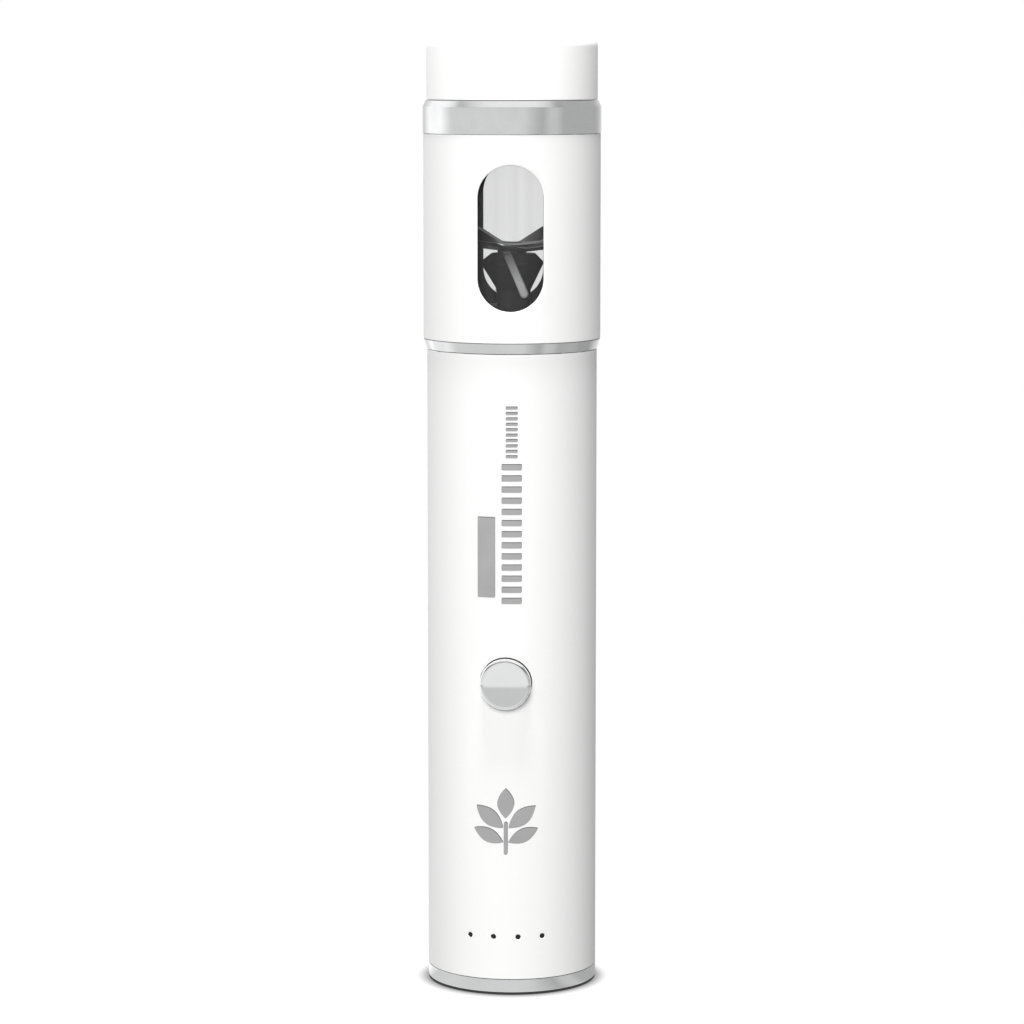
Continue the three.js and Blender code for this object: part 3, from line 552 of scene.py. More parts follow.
WHITE_PAINT = Paint("white_paint", (0.90, 0.90, 0.895), 0.5)
LINED_PAINT = Paint("white_paint", (0.90, 0.90, 0.895), 0.5, lining_radius=17.5)
# Painted light: the cap's white is set lighter than the tube's to stand in for the brighter light on the
# cap.
CAP_PAINT_WITH_PAINTED_LIGHT = Paint("white_cap", (0.97, 0.97, 0.965), 0.48)
SPRIG_GREY = Moulded("white_paint_mark", (0.37, 0.37, 0.37), 0.6)
# Painted shade: a dark copy under the grey marks, shifted up, shows as shade along their top edges.
SPRIG_PAINTED_SHADE = Moulded("white_paint_mark_painted_shade", (0.10, 0.10, 0.10), 0.7)
ALUMINIUM = Metal("satin_aluminium", (0.86, 0.865, 0.87), 0.12, marks=0.03)
POLISHED = Metal("polished_button", (0.945, 0.95, 0.95), 0.02, Grain.POLISHED, 0.006, 0.012)
CLEAR = Clear("clear_plastic", (0.6, 0.6, 0.6), 0.04)
BLACK_PLASTIC = Moulded("black_plastic", (0.018, 0.018, 0.02), 0.45)
SMOKED = Moulded("smoked_plastic", (0.004, 0.004, 0.005), 0.25, 0.002)
RUBBER = Moulded("rubber", (0.014, 0.014, 0.014), 0.85, 0.03, 3000)
SILICONE = Moulded("silicone", (0.035, 0.036, 0.038), 0.6, 0.01, 2400)
BLACK_CUTTER = Metal("black_cutter", (0.022, 0.022, 0.023), 0.42, Grain.BLASTED, 0.05, 0.2, 0.35)
# Painted highlight: a lighter grey for the blade faces where light catches them, the flat cutter's
# upward faces and the vee's front and back edge strips.
PAINTED_HIGHLIGHT_CUTTER = Metal("black_cutter_painted_highlight", (0.36, 0.36, 0.365), 0.5, Grain.BLASTED, 0.06, 0.12, 0.2)
# The finger's steel has a painted shade that darkens it from 146 mm up to 153 mm, where the blades above
# would shadow it.
CUTTER_STEEL = Metal(
    "cutter_steel", (0.62, 0.62, 0.625), 0.42, Grain.TURNED, 0.1, 0.12, 0.45, (146.0, 153.0),
)
PLATED_STEEL = Metal("plated_steel", (0.52, 0.53, 0.54), 0.25, Grain.TURNED)
BOARD = BoardLacquer("circuit_board", (0.01, 0.10, 0.045), 0.35)
LIGHT_PACKAGE = Moulded("light_package", (0.80, 0.78, 0.68), 0.35, 0.003)
CELL_WRAP = Wrap("cell_wrap", (0.03, 0.12, 0.30), 0.32)
NICKEL = Metal("nickel", (0.60, 0.575, 0.52), 0.3, Grain.TURNED)
COPPER = Metal("copper", (0.72, 0.30, 0.13), 0.32, Grain.TURNED)
BRONZE = Metal("bronze", (0.50, 0.30, 0.12), 0.35, Grain.TURNED)
FERRITE = Moulded("ferrite", (0.045, 0.046, 0.05), 0.75, 0.03, 2600)
GEAR_NYLON = Moulded("gear_nylon", (0.74, 0.72, 0.66), 0.45, 0.004)
RED_INSULATION = Moulded("red_insulation", (0.45, 0.02, 0.015), 0.45, 0.004)
BLACK_INSULATION = Moulded("black_insulation", (0.012, 0.012, 0.012), 0.45, 0.004)


# ------------------------------------------------------------------------------- outlines


def arc(centre: Point, radius: float, start: float, stop: float, steps: int) -> list[Point]:
    """Points on an arc, both ends included.

    Args:
        centre: The arc's centre.
        radius: Its radius.
        start: Where it starts, in radians.
        stop: Where it ends.
        steps: How many straight steps it has.

    Returns:
        The points.
    """
    turns = [start + (stop - start) * i / steps for i in range(steps + 1)]
    return [(centre[0] + radius * math.cos(t), centre[1] + radius * math.sin(t)) for t in turns]


def rounded(corners: Sequence[Corner], steps: int = 6) -> list[Point]:
    """An outline whose corners are rounded off.

    A guard point just outside each arc keeps the flat faces beside it evenly shaded.

    Args:
        corners: (across, up, radius) of each corner. A radius of 0 leaves it sharp.
        steps: How many straight steps each arc has.

    Returns:
        The outline's points.
    """
    points: list[Point] = []
    for i, (across, up, radius) in enumerate(corners):
        if radius <= 0:
            points.append((across, up))
            continue
        here = Vector((across, up))
        before = (Vector(corners[i - 1][:2]) - here).normalized()
        after = (Vector(corners[(i + 1) % len(corners)][:2]) - here).normalized()
        opening = before.angle(after)
        reach = radius / math.tan(opening / 2)
        centre = here + (before + after).normalized() * (radius / math.sin(opening / 2))
        guard = min(0.3 * reach, 0.2)
        first, last = here + before * reach - centre, here + after * reach - centre
        sweep = first.angle_signed(last)
        points.append(tuple(centre + first + before * guard))
        for step in range(steps + 1):
            turn = Matrix.Rotation(-sweep * step / steps, 2)
            points.append(tuple(centre + turn @ first))
        points.append(tuple(centre + last + after * guard))
    return points


def outline_mesh(points: Sequence[Point]) -> bpy.types.Mesh:
    """An outline of (radius, height) points as a chain of edges in the XZ plane."""
    made = bpy.data.meshes.new("outline")
    chain = [(i, i + 1) for i in range(len(points) - 1)]
    made.from_pydata([(across * MM, 0, up * MM) for across, up in points], chain, [])
    return made


def box_outline(low: Point, high: Point, corner: float) -> list[Corner]:
    """The four corners of an upright rectangle."""
    return [(low[0], low[1], corner), (high[0], low[1], corner),
            (high[0], high[1], corner), (low[0], high[1], corner)]


# ------------------------------------------------------------------------------- meshes


def settle(mesh: bpy.types.Mesh) -> bpy.types.Mesh:
    """Closes a mesh's seams and poles, turns its faces outwards and sets its shading.

    Args:
        mesh: The mesh, changed in place.

    Returns:
        The same mesh.
    """
    work = bmesh.new()
    work.from_mesh(mesh)
    bmesh.ops.remove_doubles(work, verts=work.verts, dist=WELD)
    bmesh.ops.dissolve_degenerate(work, edges=work.edges, dist=WELD / 4)
    bmesh.ops.recalc_face_normals(work, faces=work.faces)
    for face in work.faces:
        face.smooth = True
    work.to_mesh(mesh)
    work.free()
    mesh.set_sharp_from_angle(angle=SHARP_ANGLE)
    return mesh


def plate(outline: Sequence[Point], bottom: float, top: float, edge: float) -> bmesh.types.BMesh:
    """A flat plate with rounded edges, in millimetres.

    Args:
        outline: Its outline in XY.
        bottom: Its lower face.
        top: Its upper face.
        edge: How far its edges are rounded.

    Returns:
        The plate.
    """
    work = bmesh.new()
    lower = work.faces.new([work.verts.new((x, y, bottom)) for x, y in outline])
    raised = bmesh.ops.extrude_face_region(work, geom=[lower])["geom"]
    upper_points = [part for part in raised if isinstance(part, bmesh.types.BMVert)]
    bmesh.ops.translate(work, verts=upper_points, vec=(0, 0, top - bottom))
    bmesh.ops.recalc_face_normals(work, faces=work.faces)
    rims = [line for line in work.edges if abs(line.verts[0].co.z - line.verts[1].co.z) < 1e-6]
    bmesh.ops.bevel(
        work, geom=rims, offset=edge, segments=3, profile=0.5, affect="EDGES", clamp_overlap=True,
    )
    return work


def combined(parts: Iterable[tuple[bmesh.types.BMesh, Matrix]]) -> bpy.types.Mesh:
    """One mesh of several solids in millimetres, each moved to its place.

    Args:
        parts: Each solid with its place. The solids are freed.

    Returns:
        The mesh, in metres.
    """
    whole = bmesh.new()
    for part, place in parts:
        part.transform(place)
        lump = bpy.data.meshes.new("lump")
        part.to_mesh(lump)
        part.free()
        whole.from_mesh(lump)
        bpy.data.meshes.remove(lump)
    bmesh.ops.scale(whole, verts=whole.verts, vec=(MM, MM, MM))
    made = bpy.data.meshes.new("combined")
    whole.to_mesh(made)
    whole.free()
    return made


def strips(work: bmesh.types.BMesh, rows: Sequence[Sequence[Any]], closed: bool) -> None:
    """Faces between each row of points and the next.

    Args:
        work: The mesh that holds the points.
        rows: Rows of the same number of points.
        closed: Whether each row ends where it starts.
    """
    for lower, upper in zip(rows, rows[1:]):
        count = len(lower)
        for i in range(count if closed else count - 1):
            j = (i + 1) % count
            corners = list(dict.fromkeys((lower[i], lower[j], upper[j], upper[i])))
            if len(corners) > 2 and work.faces.get(corners) is None:
                work.faces.new(corners)


@dataclass(frozen=True)
class Station:
    """A cut across a bent and twisted plate: its place along X and its lower edges' (y, z)."""

    along: float
    front: Point
    back: Point


def loft(stations: Sequence[Station], thickness: float, edge: float) -> bmesh.types.BMesh:
    """A bent and twisted plate with bevelled edges, in millimetres.

    Args:
        stations: The cuts across it, in order along X.
        thickness: The plate's thickness.
        edge: The width of its bevels.

    Returns:
        The plate.
    """
    work = bmesh.new()
    rows = []
    for station in stations:
        front, back = Vector((station.along, *station.front)), Vector((station.along, *station.back))
        way = (back - front).normalized()
        up = Vector((0, -way.z, way.y))
        inset = way * min(edge, (back - front).length * 0.4)
        ring = (
            front + inset, back - inset, back + up * edge, back + up * (thickness - edge),
            back - inset + up * thickness, front + inset + up * thickness,
            front + up * (thickness - edge), front + up * edge,
        )
        rows.append([work.verts.new(point) for point in ring])
    strips(work, rows, True)
    work.faces.new(rows[0])
    work.faces.new(rows[-1])
    bmesh.ops.recalc_face_normals(work, faces=work.faces)
    return work


# ------------------------------------------------------------------------------- recipes


class Recipe:
    """A Geometry Nodes tree with named inputs, whose result is kept as a plain mesh.

    A kind of recipe gives its inputs and its steps. The tree ends in Realize Instances and
    Set Material.
    """

    title = "recipe"
    inputs: dict[str, str] = {}

    def steps(self, graph: Graph, given: Mapping[str, Value]) -> Value:
        """Adds the recipe's nodes.

        Args:
            graph: The tree.
            given: Each input by its name, with Start for the outline or points it starts from.

        Returns:
            The geometry.
        """
        raise NotImplementedError

    def tree(self) -> bpy.types.NodeTree:
        """The recipe's tree, made once."""
        made = bpy.data.node_groups.get(self.title)
        if made is not None:
            return made
        made = bpy.data.node_groups.new(self.title, "GeometryNodeTree")
        graph = Graph(made)
        sockets = {"Start": "Geometry", **self.inputs, "Finish": "Material"}
        for name, kind in sockets.items():
            made.interface.new_socket(name, in_out="INPUT", socket_type=f"NodeSocket{kind}")
        made.interface.new_socket("Piece", in_out="OUTPUT", socket_type="NodeSocketGeometry")
        entry = graph.node("NodeGroupInput")
        given = {name: Value(graph, entry.outputs[name]) for name in sockets}
        shape = self.steps(graph, given)
        plain = graph.out("GeometryNodeRealizeInstances", None, {0: shape})
        done = graph.out(
            "GeometryNodeSetMaterial", None, {"Geometry": plain, "Material": given["Finish"]},
        )
        graph.node("NodeGroupOutput", None, {"Piece": done})
        return made

    def make(
        self, name: str, start: bpy.types.Mesh, finish: Finish, values: Mapping[str, Any],
        place: Matrix = UPRIGHT,
    ) -> bpy.types.Object:
        """Runs the recipe.

        Args:
            name: The piece's name.
            start: The outline or points that it starts from, in metres.
            finish: The piece's finish.
            values: Each input's value, by its name, in metres and turns.
            place: Where the piece stands, in metres.

        Returns:
            The piece, with a plain mesh.
        """
        piece = bpy.data.objects.new(name, start)
        bpy.context.scene.collection.objects.link(piece)
        modifier = piece.modifiers.new(self.title, "NODES")
        modifier.node_group = self.tree()
        settings = {**values, "Finish": finish.material()}
        for item in modifier.node_group.interface.items_tree:
            if item.in_out == "INPUT" and item.name in settings:
                modifier[item.identifier] = settings[item.name]
        graph = bpy.context.evaluated_depsgraph_get()
        mesh = bpy.data.meshes.new_from_object(piece.evaluated_get(graph), depsgraph=graph)
        piece.modifiers.clear()
        mesh.transform(place)
        piece.data = settle(mesh)
        piece.data.name = name
        return piece


class Turned(Recipe):
    """An outline turned about the upright axis, or swept round a slot, with optional flutes."""

    title = "turned"
    inputs = {
        "Closed": "Int", "Facets": "Int", "Straight": "Float",
        "Flutes": "Int", "Flute Depth": "Float", "Flute Root": "Float", "Flute End": "Float",
    }
    flute_fade = 0.8 * MM  # how far outside its root a flute reaches its full depth
    flute_runout = 0.6  # the share of its width over which a flute runs out to nothing

    def steps(self, graph: Graph, given: Mapping[str, Value]) -> Value:
        """A sheet of points, one row for each facet and one column for each outline point."""
        counted = {"Geometry": given["Start"]}
        count = graph.out(
            "GeometryNodeAttributeDomainSize", {"component": "MESH"}, counted, "Point Count",
        )
        rows = given["Facets"] + 1
        size = {"Vertices X": count + given["Closed"], "Vertices Y": rows}
        sheet = graph.out("GeometryNodeMeshGrid", None, size)
        index = graph.out("GeometryNodeInputIndex")
        column = ((index + 0.5) / rows).apply("FLOOR")
        turn = (index - column * rows) / given["Facets"] * FULL_TURN
        spot = graph.out(
            "GeometryNodeSampleIndex", {"data_type": "FLOAT_VECTOR", "domain": "POINT"},
            {
                "Geometry": given["Start"], "Value": graph.out("GeometryNodeInputPosition"),
                "Index": column % count,
            },
        )
        radius, _, height = graph.split(spot)
        root = given["Flute Root"]
        valley = 0.5 - 0.5 * (turn * given["Flutes"]).apply("COSINE")
        end = given["Flute End"]
        opened = ((radius - root) / self.flute_fade).between(0, 1)
        closed = ((end - radius) / (end - root)).between(0, self.flute_runout)
        fluted = radius - given["Flute Depth"] * valley * (opened * closed)
        across, along = turn.apply("COSINE"), turn.apply("SINE")
        shifted = fluted * across + given["Straight"] * across.apply("SIGN")
        spots = graph.joined(shifted, fluted * along, height)
        return graph.out("GeometryNodeSetPosition", None, {"Geometry": sheet, "Position": spots})

    def piece(
        self, name: str, points: Sequence[Point], finish: Finish, place: Matrix = UPRIGHT,
        facets: int = 256, straight: float = 0.0, flutes: Flutes = (0, 0, 0, 1),
    ) -> bpy.types.Object:
        """A turned piece.

        Args:
            name: The piece's name.
            points: Its outline as (radius, height). It is open if it ends on the axis.
            finish: Its finish.
            place: Where it stands, in metres.
            facets: How many facets a full turn has.
            straight: Half the straight side of a slot, or 0 for a circle.
            flutes: How many flutes, how deep, and the radii that they start from and end at.

        Returns:
            The piece.
        """
        count, depth, root, end = flutes
        on_axis = points[0][0] == 0 and points[-1][0] == 0
        values = {
            "Closed": 0 if on_axis else 1, "Facets": facets, "Straight": straight * MM,
            "Flutes": count, "Flute Depth": depth * MM, "Flute Root": root * MM,
            "Flute End": end * MM,
        }
        return self.make(name, outline_mesh(points), finish, values, place)


class Screws(Recipe):
    """Screws in a row, each turned from one outline and with a cross recess in its head."""

    title = "screws"
    inputs = {
        "Count": "Int", "First": "Vector", "Step": "Vector", "Facets": "Int",
        "Recess Reach": "Float", "Recess Width": "Float", "Recess Depth": "Float",
        "Head Level": "Float",
    }

    def steps(self, graph: Graph, given: Mapping[str, Value]) -> Value:
        """Turns the outline, cuts the cross and stands a copy at each place."""
        shape = {
            "Start": given["Start"], "Closed": 0, "Facets": given["Facets"],
            "Finish": given["Finish"],
        }
        blank = graph.out("GeometryNodeGroup", {"node_tree": Turned().tree()}, shape)
        blank = graph.out("GeometryNodeMergeByDistance", None, {"Geometry": blank, "Distance": WELD})
        arms = [
            graph.joined(given["Recess Reach"], given["Recess Width"], given["Recess Depth"]),
            graph.joined(given["Recess Width"], given["Recess Reach"], given["Recess Depth"]),
        ]
        cutters = [graph.out("GeometryNodeMeshCube", None, {"Size": size}) for size in arms]
        level = graph.joined(0, 0, given["Head Level"])
        moved = [
            graph.out("GeometryNodeTransform", None, {"Geometry": cutter, "Translation": level})
            for cutter in cutters
        ]
        cross = graph.out("GeometryNodeMeshBoolean", {"operation": "UNION", "solver": "EXACT"}, {})
        for arm in moved:
            graph.tree.links.new(arm.socket, cross.socket.node.inputs["Mesh 2"])
        screw = graph.out(
            "GeometryNodeMeshBoolean", {"operation": "DIFFERENCE", "solver": "EXACT"},
            {"Mesh 1": blank, "Mesh 2": cross},
        )
        row = graph.out(
            "GeometryNodeMeshLine", {"mode": "OFFSET"},
            {"Count": given["Count"], "Start Location": given["First"], "Offset": given["Step"]},
        )
        return graph.out("GeometryNodeInstanceOnPoints", None, {"Points": row, "Instance": screw})

    def pieces(
        self, name: str, outline: Sequence[Point], finish: Finish, first: Vector, last: Vector,
        recess: Corner, head_level: float, count: int = 2,
    ) -> bpy.types.Object:
        """A row of screws as one piece.

        Args:
            name: The piece's name.
            outline: A screw's outline, from the axis to the axis.
            finish: Its finish.
            first: Where the first screw stands.
            last: Where the last one stands.
            recess: The cross's reach, width and depth.
            head_level: The level of the head's face.
            count: How many screws there are.

        Returns:
            The piece.
        """
        reach, width, depth = recess
        step = (last - first) / max(1, count - 1)
        values = {
            "Count": count, "First": first * MM, "Step": step * MM, "Facets": 48,
            "Recess Reach": reach * MM, "Recess Width": width * MM,
            "Recess Depth": 2 * depth * MM, "Head Level": head_level * MM,
        }
        return self.make(name, outline_mesh(outline), finish, values)


class Grips(Recipe):
    """Rings of low domes on the underside of the foot pad."""

    title = "grips"
    inputs = {
        "Rings": "Int", "Pitch": "Float", "Dome": "Float", "Height": "Float", "Squash": "Float",
    }

    def steps(self, graph: Graph, given: Mapping[str, Value]) -> Value:
        """Domes at the points of a triangular grid inside a circle, joined to the pad."""
        across = given["Rings"] * 2 + 1
        span = given["Pitch"] * (across - 1)
        grid = graph.out("GeometryNodeMeshGrid", None, {
            "Size X": span, "Size Y": span * math.sin(math.pi / 3),
            "Vertices X": across, "Vertices Y": across,
        })
        index = graph.out("GeometryNodeInputIndex")
        odd_row = (index % across) % 2
        shift = graph.joined(given["Pitch"] * 0.5 * odd_row, 0, given["Height"])
        points = graph.out("GeometryNodeSetPosition", None, {"Geometry": grid, "Offset": shift})
        position = graph.out("GeometryNodeInputPosition")
        distance = graph.out("ShaderNodeVectorMath", {"operation": "LENGTH"}, {0: position}, 1)
        inside = distance < given["Pitch"] * given["Rings"]
        dome = graph.out("GeometryNodeMeshUVSphere", None, {
            "Segments": 12, "Rings": 6, "Radius": given["Dome"],
        })
        size = graph.joined(1.0, 1.0, given["Squash"])
        squat = graph.out("GeometryNodeTransform", None, {"Geometry": dome, "Scale": size})
        domes = graph.out("GeometryNodeInstanceOnPoints", None, {
            "Points": points, "Selection": inside, "Instance": squat,
        })
        both = graph.node("GeometryNodeJoinGeometry")
        graph.tree.links.new(domes.socket, both.inputs[0])
        graph.tree.links.new(given["Start"].socket, both.inputs[0])
        return Value(graph, both.outputs[0])


TURNED = Turned()
SCREWS = Screws()
GRIPS = Grips()


# ------------------------------------------------------------------------------- pierced shells


@dataclass(frozen=True)
class Opening:
    """A hole through a tube's wall, straight along the line from the axis.

    azimuth is in whole columns of the tube from the front. The outline is a circle pulled out
    along a straight line of half-length straight, which stands up if upright is true.
    """

    azimuth: int
    height: float
    radius: float
    straight: float = 0.0
    upright: bool = False
    edge: float = 0.1
    half_columns: int = 3
    half_height: float = 1.1

    def nearest(self, x: float, z: float) -> tuple[Vector, Vector]:
        """The skeleton's nearest point to a point of the wall, and the way from it.

        Args:
            x: Sideways from the hole's middle.
            z: Up from the hole's middle.

        Returns:
            The skeleton's point and a direction of length 1.
        """
        along = z if self.upright else x
        held = max(-self.straight, min(self.straight, along))
        foot = Vector((0, held)) if self.upright else Vector((held, 0))
        return foot, (Vector((x, z)) - foot).normalized()


@dataclass
class PiercedShell:
    """A tube with openings through its wall, its rims and openings slightly rounded."""

    outer: float
    inner: float
    bottom: float
    top: float
    openings: Sequence[Opening] = ()
    columns: int = 300
    rim: float = 0.12
    row_pitch: float = 0.45
    fillet_steps: int = 4
    ring_steps: int = 3
    work: bmesh.types.BMesh = field(default_factory=bmesh.new)

    def levels(self) -> list[float]:
        """The heights of the wall's rows of points."""
        marks = {self.bottom + self.rim, self.top - self.rim}
        marks |= {self.bottom + 2 * self.rim, self.top - 2 * self.rim}
        for opening in self.openings:
            steps = max(4, round(2 * opening.half_height / self.row_pitch))
            low = opening.height - opening.half_height
            marks |= {low + 2 * opening.half_height * i / steps for i in range(steps + 1)}
        return sorted(marks)

    def direction(self, column: float) -> Vector:
        """The level direction of a column. Column 0 faces the front."""
        turn = FULL_TURN * column / self.columns
        return Vector((math.sin(turn), -math.cos(turn), 0))

    def span(self, opening: Opening, levels: Sequence[float]) -> tuple[range, list[int]]:
        """The columns and rows that an opening's block takes up."""
        low = opening.height - opening.half_height - 1e-6
        high = opening.height + opening.half_height + 1e-6
        rows = [i for i, level in enumerate(levels) if low <= level <= high]
        first = opening.azimuth - opening.half_columns
        return range(first, opening.azimuth + opening.half_columns + 1), rows

    def block_edge(self, opening: Opening, levels: Sequence[float]) -> list[tuple[int, int]]:
        """The (column, row) of each point round an opening's block, in order."""
        columns, rows = self.span(opening, levels)
        first, last, low, high = columns[0], columns[-1], rows[0], rows[-1]
        lower = [(c, low) for c in columns]
        right = [(last, r) for r in rows[1:]]
        upper = [(c, high) for c in reversed(columns[:-1])]
        left = [(first, r) for r in reversed(rows[1:-1])]
        return lower + right + upper + left

    def pierce(self, opening: Opening, walls: dict, levels: Sequence[float]) -> None:
        """Fills an opening's blocks down to its outline and lines its wall.

        Args:
            opening: The opening.
            walls: The wall's points, by side, column and row.
            levels: The rows' heights.
        """
        edge = self.block_edge(opening, levels)
        ahead = self.direction(opening.azimuth)
        aside = Vector((-ahead.y, ahead.x, 0))

        def spot(x: float, z: float, radius: float) -> Vector:
            """A point on a cylinder, sideways and up from the opening's middle."""
            depth = math.sqrt(radius**2 - x**2)
            return ahead * depth + aside * x + Vector((0, 0, opening.height + z))

        sides = []
        for side, radius, inward in (("outer", self.outer, -1), ("inner", self.inner, 1)):
            starts = []
            for column, row in edge:
                turn = FULL_TURN * (column - opening.azimuth) / self.columns
                starts.append((radius * math.sin(turn), levels[row] - opening.height))
            marks = [opening.nearest(x, z) for x, z in starts]
            rows = [[walls[side, c % self.columns, r] for c, r in edge]]
            mouth = opening.radius + opening.edge
            for step in range(1, self.ring_steps + 1):
                share = (step / self.ring_steps) ** 0.7
                ring = []
                for (x, z), (foot, way) in zip(starts, marks):
                    near = foot + way * (mouth + 0.06 * (step < self.ring_steps))
                    mixed = Vector((x, z)).lerp(near, share)
                    ring.append(self.work.verts.new(spot(mixed.x, mixed.y, radius)))
                rows.append(ring)
            for step in range(1, self.fillet_steps + 1):
                turn = math.pi / 2 * step / self.fillet_steps
                reach = mouth - opening.edge * math.sin(turn)
                sunk = opening.edge * (1 - math.cos(turn)) * inward
                ring = []
                for foot, way in marks:
                    at = foot + way * reach
                    ring.append(self.work.verts.new(spot(at.x, at.y, radius) + ahead * sunk))
                rows.append(ring)
            strips(self.work, rows, True)
            sides.append(rows[-1])
        strips(self.work, sides, True)

    def mesh(self) -> bpy.types.Mesh:
        """The tube's mesh, in metres."""
        levels = self.levels()
        walls: dict = {}
        for side, radius in (("outer", self.outer), ("inner", self.inner)):
            for column in range(self.columns):
                away = self.direction(column) * radius
                for row, level in enumerate(levels):
                    point = away + Vector((0, 0, level))
                    walls[side, column, row] = self.work.verts.new(point)
        pierced = set()
        for opening in self.openings:
            columns, rows = self.span(opening, levels)
            pierced |= {
                (c % self.columns, r) for c in columns[:-1] for r in rows[:-1]
            }
        for side in ("outer", "inner"):
            for column in range(self.columns):
                ahead = (column + 1) % self.columns
                for row in range(len(levels) - 1):
                    if (column, row) in pierced:
                        continue
                    self.work.faces.new((
                        walls[side, column, row], walls[side, ahead, row],
                        walls[side, ahead, row + 1], walls[side, column, row + 1],
                    ))
        for row, level, up in ((len(levels) - 1, self.top, 1), (0, self.bottom, -1)):
            rings = [[walls["outer", c, row] for c in range(self.columns)]]
            for share in range(1, self.fillet_steps + 1):
                turn = math.pi / 2 * share / self.fillet_steps
                rings.append(self._rim(self.outer - self.rim, turn, level, up, 1))
            for share in range(self.fillet_steps, 0, -1):
                turn = math.pi / 2 * share / self.fillet_steps
                rings.append(self._rim(self.inner + self.rim, turn, level, up, -1))
            rings.append([walls["inner", c, row] for c in range(self.columns)])
            strips(self.work, rings, True)
        for opening in self.openings:
            self.pierce(opening, walls, levels)
        bmesh.ops.scale(self.work, verts=self.work.verts, vec=(MM, MM, MM))
        made = bpy.data.meshes.new("shell")
        self.work.to_mesh(made)
        self.work.free()
        return settle(made)

    def _rim(self, radius: float, turn: float, level: float, up: int, out: int) -> list:
        """One ring of points on a rounded rim."""
        across = radius + out * self.rim * math.cos(turn)
        height = level + up * self.rim * (math.sin(turn) - 1)
        return [
            self.work.verts.new(self.direction(c) * across + Vector((0, 0, height)))
            for c in range(self.columns)
        ]


# ------------------------------------------------------------------------------- assembly


class SubAssembly:
    """A group of pieces that are built and dressed together."""

    def keep(
        self, piece: bpy.types.Object, body: str, slot: str, *replaced: str,
    ) -> bpy.types.Object:
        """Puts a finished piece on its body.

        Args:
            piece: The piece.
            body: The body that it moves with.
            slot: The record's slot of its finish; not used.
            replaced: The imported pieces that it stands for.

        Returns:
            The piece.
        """
        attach(piece, body)
        if replaced:
            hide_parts(*replaced)
        log.info("%s rides on %s, %d faces", piece.name, body, len(piece.data.polygons))
        return piece

    def meshed(self, name: str, mesh: bpy.types.Mesh, finish: Finish) -> bpy.types.Object:
        """A piece from a finished mesh.

        Args:
            name: The piece's name.
            mesh: Its mesh, in metres.
            finish: Its finish.

        Returns:
            The piece.
        """
        piece = bpy.data.objects.new(name, mesh)
        mesh.name = name
        mesh.materials.clear()
        mesh.materials.append(finish.material())
        bpy.context.scene.collection.objects.link(piece)
        return piece

    def seal(self, name: str, body: str, node: str) -> None:
        """An O-ring.

        Args:
            name: The piece's name.
            body: The body that it moves with.
            node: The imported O-ring that it stands for.
        """
        ring = Extent.of(node)
        section = arc((ring.radius - CORD, ring.middle.z), CORD, 0, FULL_TURN * 23 / 24, 23)
        made = TURNED.piece(name, section, SILICONE)
        self.keep(made, body, "silicone", node)

    def grooved(self, neck: float, floor: float, level: float) -> list[Corner]:
        """The corners of a groove for an O-ring, from its lower edge up.

        Args:
            neck: The radius outside the groove.
            floor: The radius of its floor.
            level: The height of its middle.

        Returns:
            The corners.
        """
        low, high = level - GROOVE_HALF, level + GROOVE_HALF
        return [(neck, low, 0.08), (floor, low, 0.05), (floor, high, 0.05), (neck, high, 0.08)]


@dataclass
class Base(SubAssembly):
    """The base ring, and the screws and the foot pad inside it."""

    lip_inner: float = 14.7
    flange_bore: float = 15.6
    lip_thickness: float = 1.3
    spigot_gap: float = 0.15
    dome: float = 0.55
    dome_squash: float = 0.35
    dome_pitch: float = 1.55

    def build(self) -> None:
        """Makes and places the base's pieces."""
        ring, tube, pad = Extent.of("base_ring"), Extent.of("body_tube"), Extent.of("foot_pad")
        band_top = tube.bottom - PARTING
        spigot = tube.radius - TUBE_WALL - self.spigot_gap
        lip = band_top - self.lip_thickness
        outline = rounded([
            (self.flange_bore, ring.bottom, 0.15), (ring.radius, ring.bottom, 0.3),
            (ring.radius, band_top, 0.07), (spigot, band_top, 0), (spigot, ring.top, 0.15),
            (self.lip_inner, ring.top, 0.15), (self.lip_inner, lip, 0), (self.flange_bore, lip, 0),
        ])
        made = TURNED.piece("base_band", outline, ALUMINIUM)
        self.keep(made, "housing", "satin_aluminium", "base_ring")
        self.foot(pad)
        self.screws()

    def foot(self, pad: Extent) -> None:
        """The rubber pad, with domes on its underside."""
        relief = self.dome * self.dome_squash
        face = [(0, pad.bottom + relief)]
        face += arc((pad.radius - 0.25, relief + 0.25), 0.25, -math.pi / 2, 0, 5)
        face += [(pad.radius, pad.top - 0.1), (pad.radius - 0.1, pad.top), (0, pad.top)]
        blank = TURNED.piece("foot_blank", face, RUBBER, facets=96)
        made = GRIPS.make("foot_pad_gripped", blank.data, RUBBER, {
            "Rings": 8, "Pitch": self.dome_pitch * MM, "Dome": self.dome * MM,
            "Height": relief * MM, "Squash": self.dome_squash,
        })
        bpy.data.objects.remove(blank)
        self.keep(made, "housing", "rubber", "foot_pad")

    def screws(self) -> None:
        """The two screws that hold the base to the chassis."""
        left, right = Extent.of("base_screw_1"), Extent.of("base_screw_2")
        head, shank, head_height = 1.9, 1.0, 1.3
        outline = [
            (0, left.bottom), *arc((head - 0.15, left.bottom + 0.15), 0.15, -math.pi / 2, 0, 4),
            (head, left.bottom + head_height), (shank, left.bottom + head_height),
            (shank, left.top - shank), (0, left.top),
        ]
        first = Vector((left.middle.x, left.middle.y, 0))
        last = Vector((right.middle.x, right.middle.y, 0))
        made = SCREWS.pieces(
            "base_screws", outline, PLATED_STEEL, first, last, (2.1, 0.5, 0.7), left.bottom,
        )
        self.keep(made, "housing", "plated_steel", "base_screw_1", "base_screw_2")


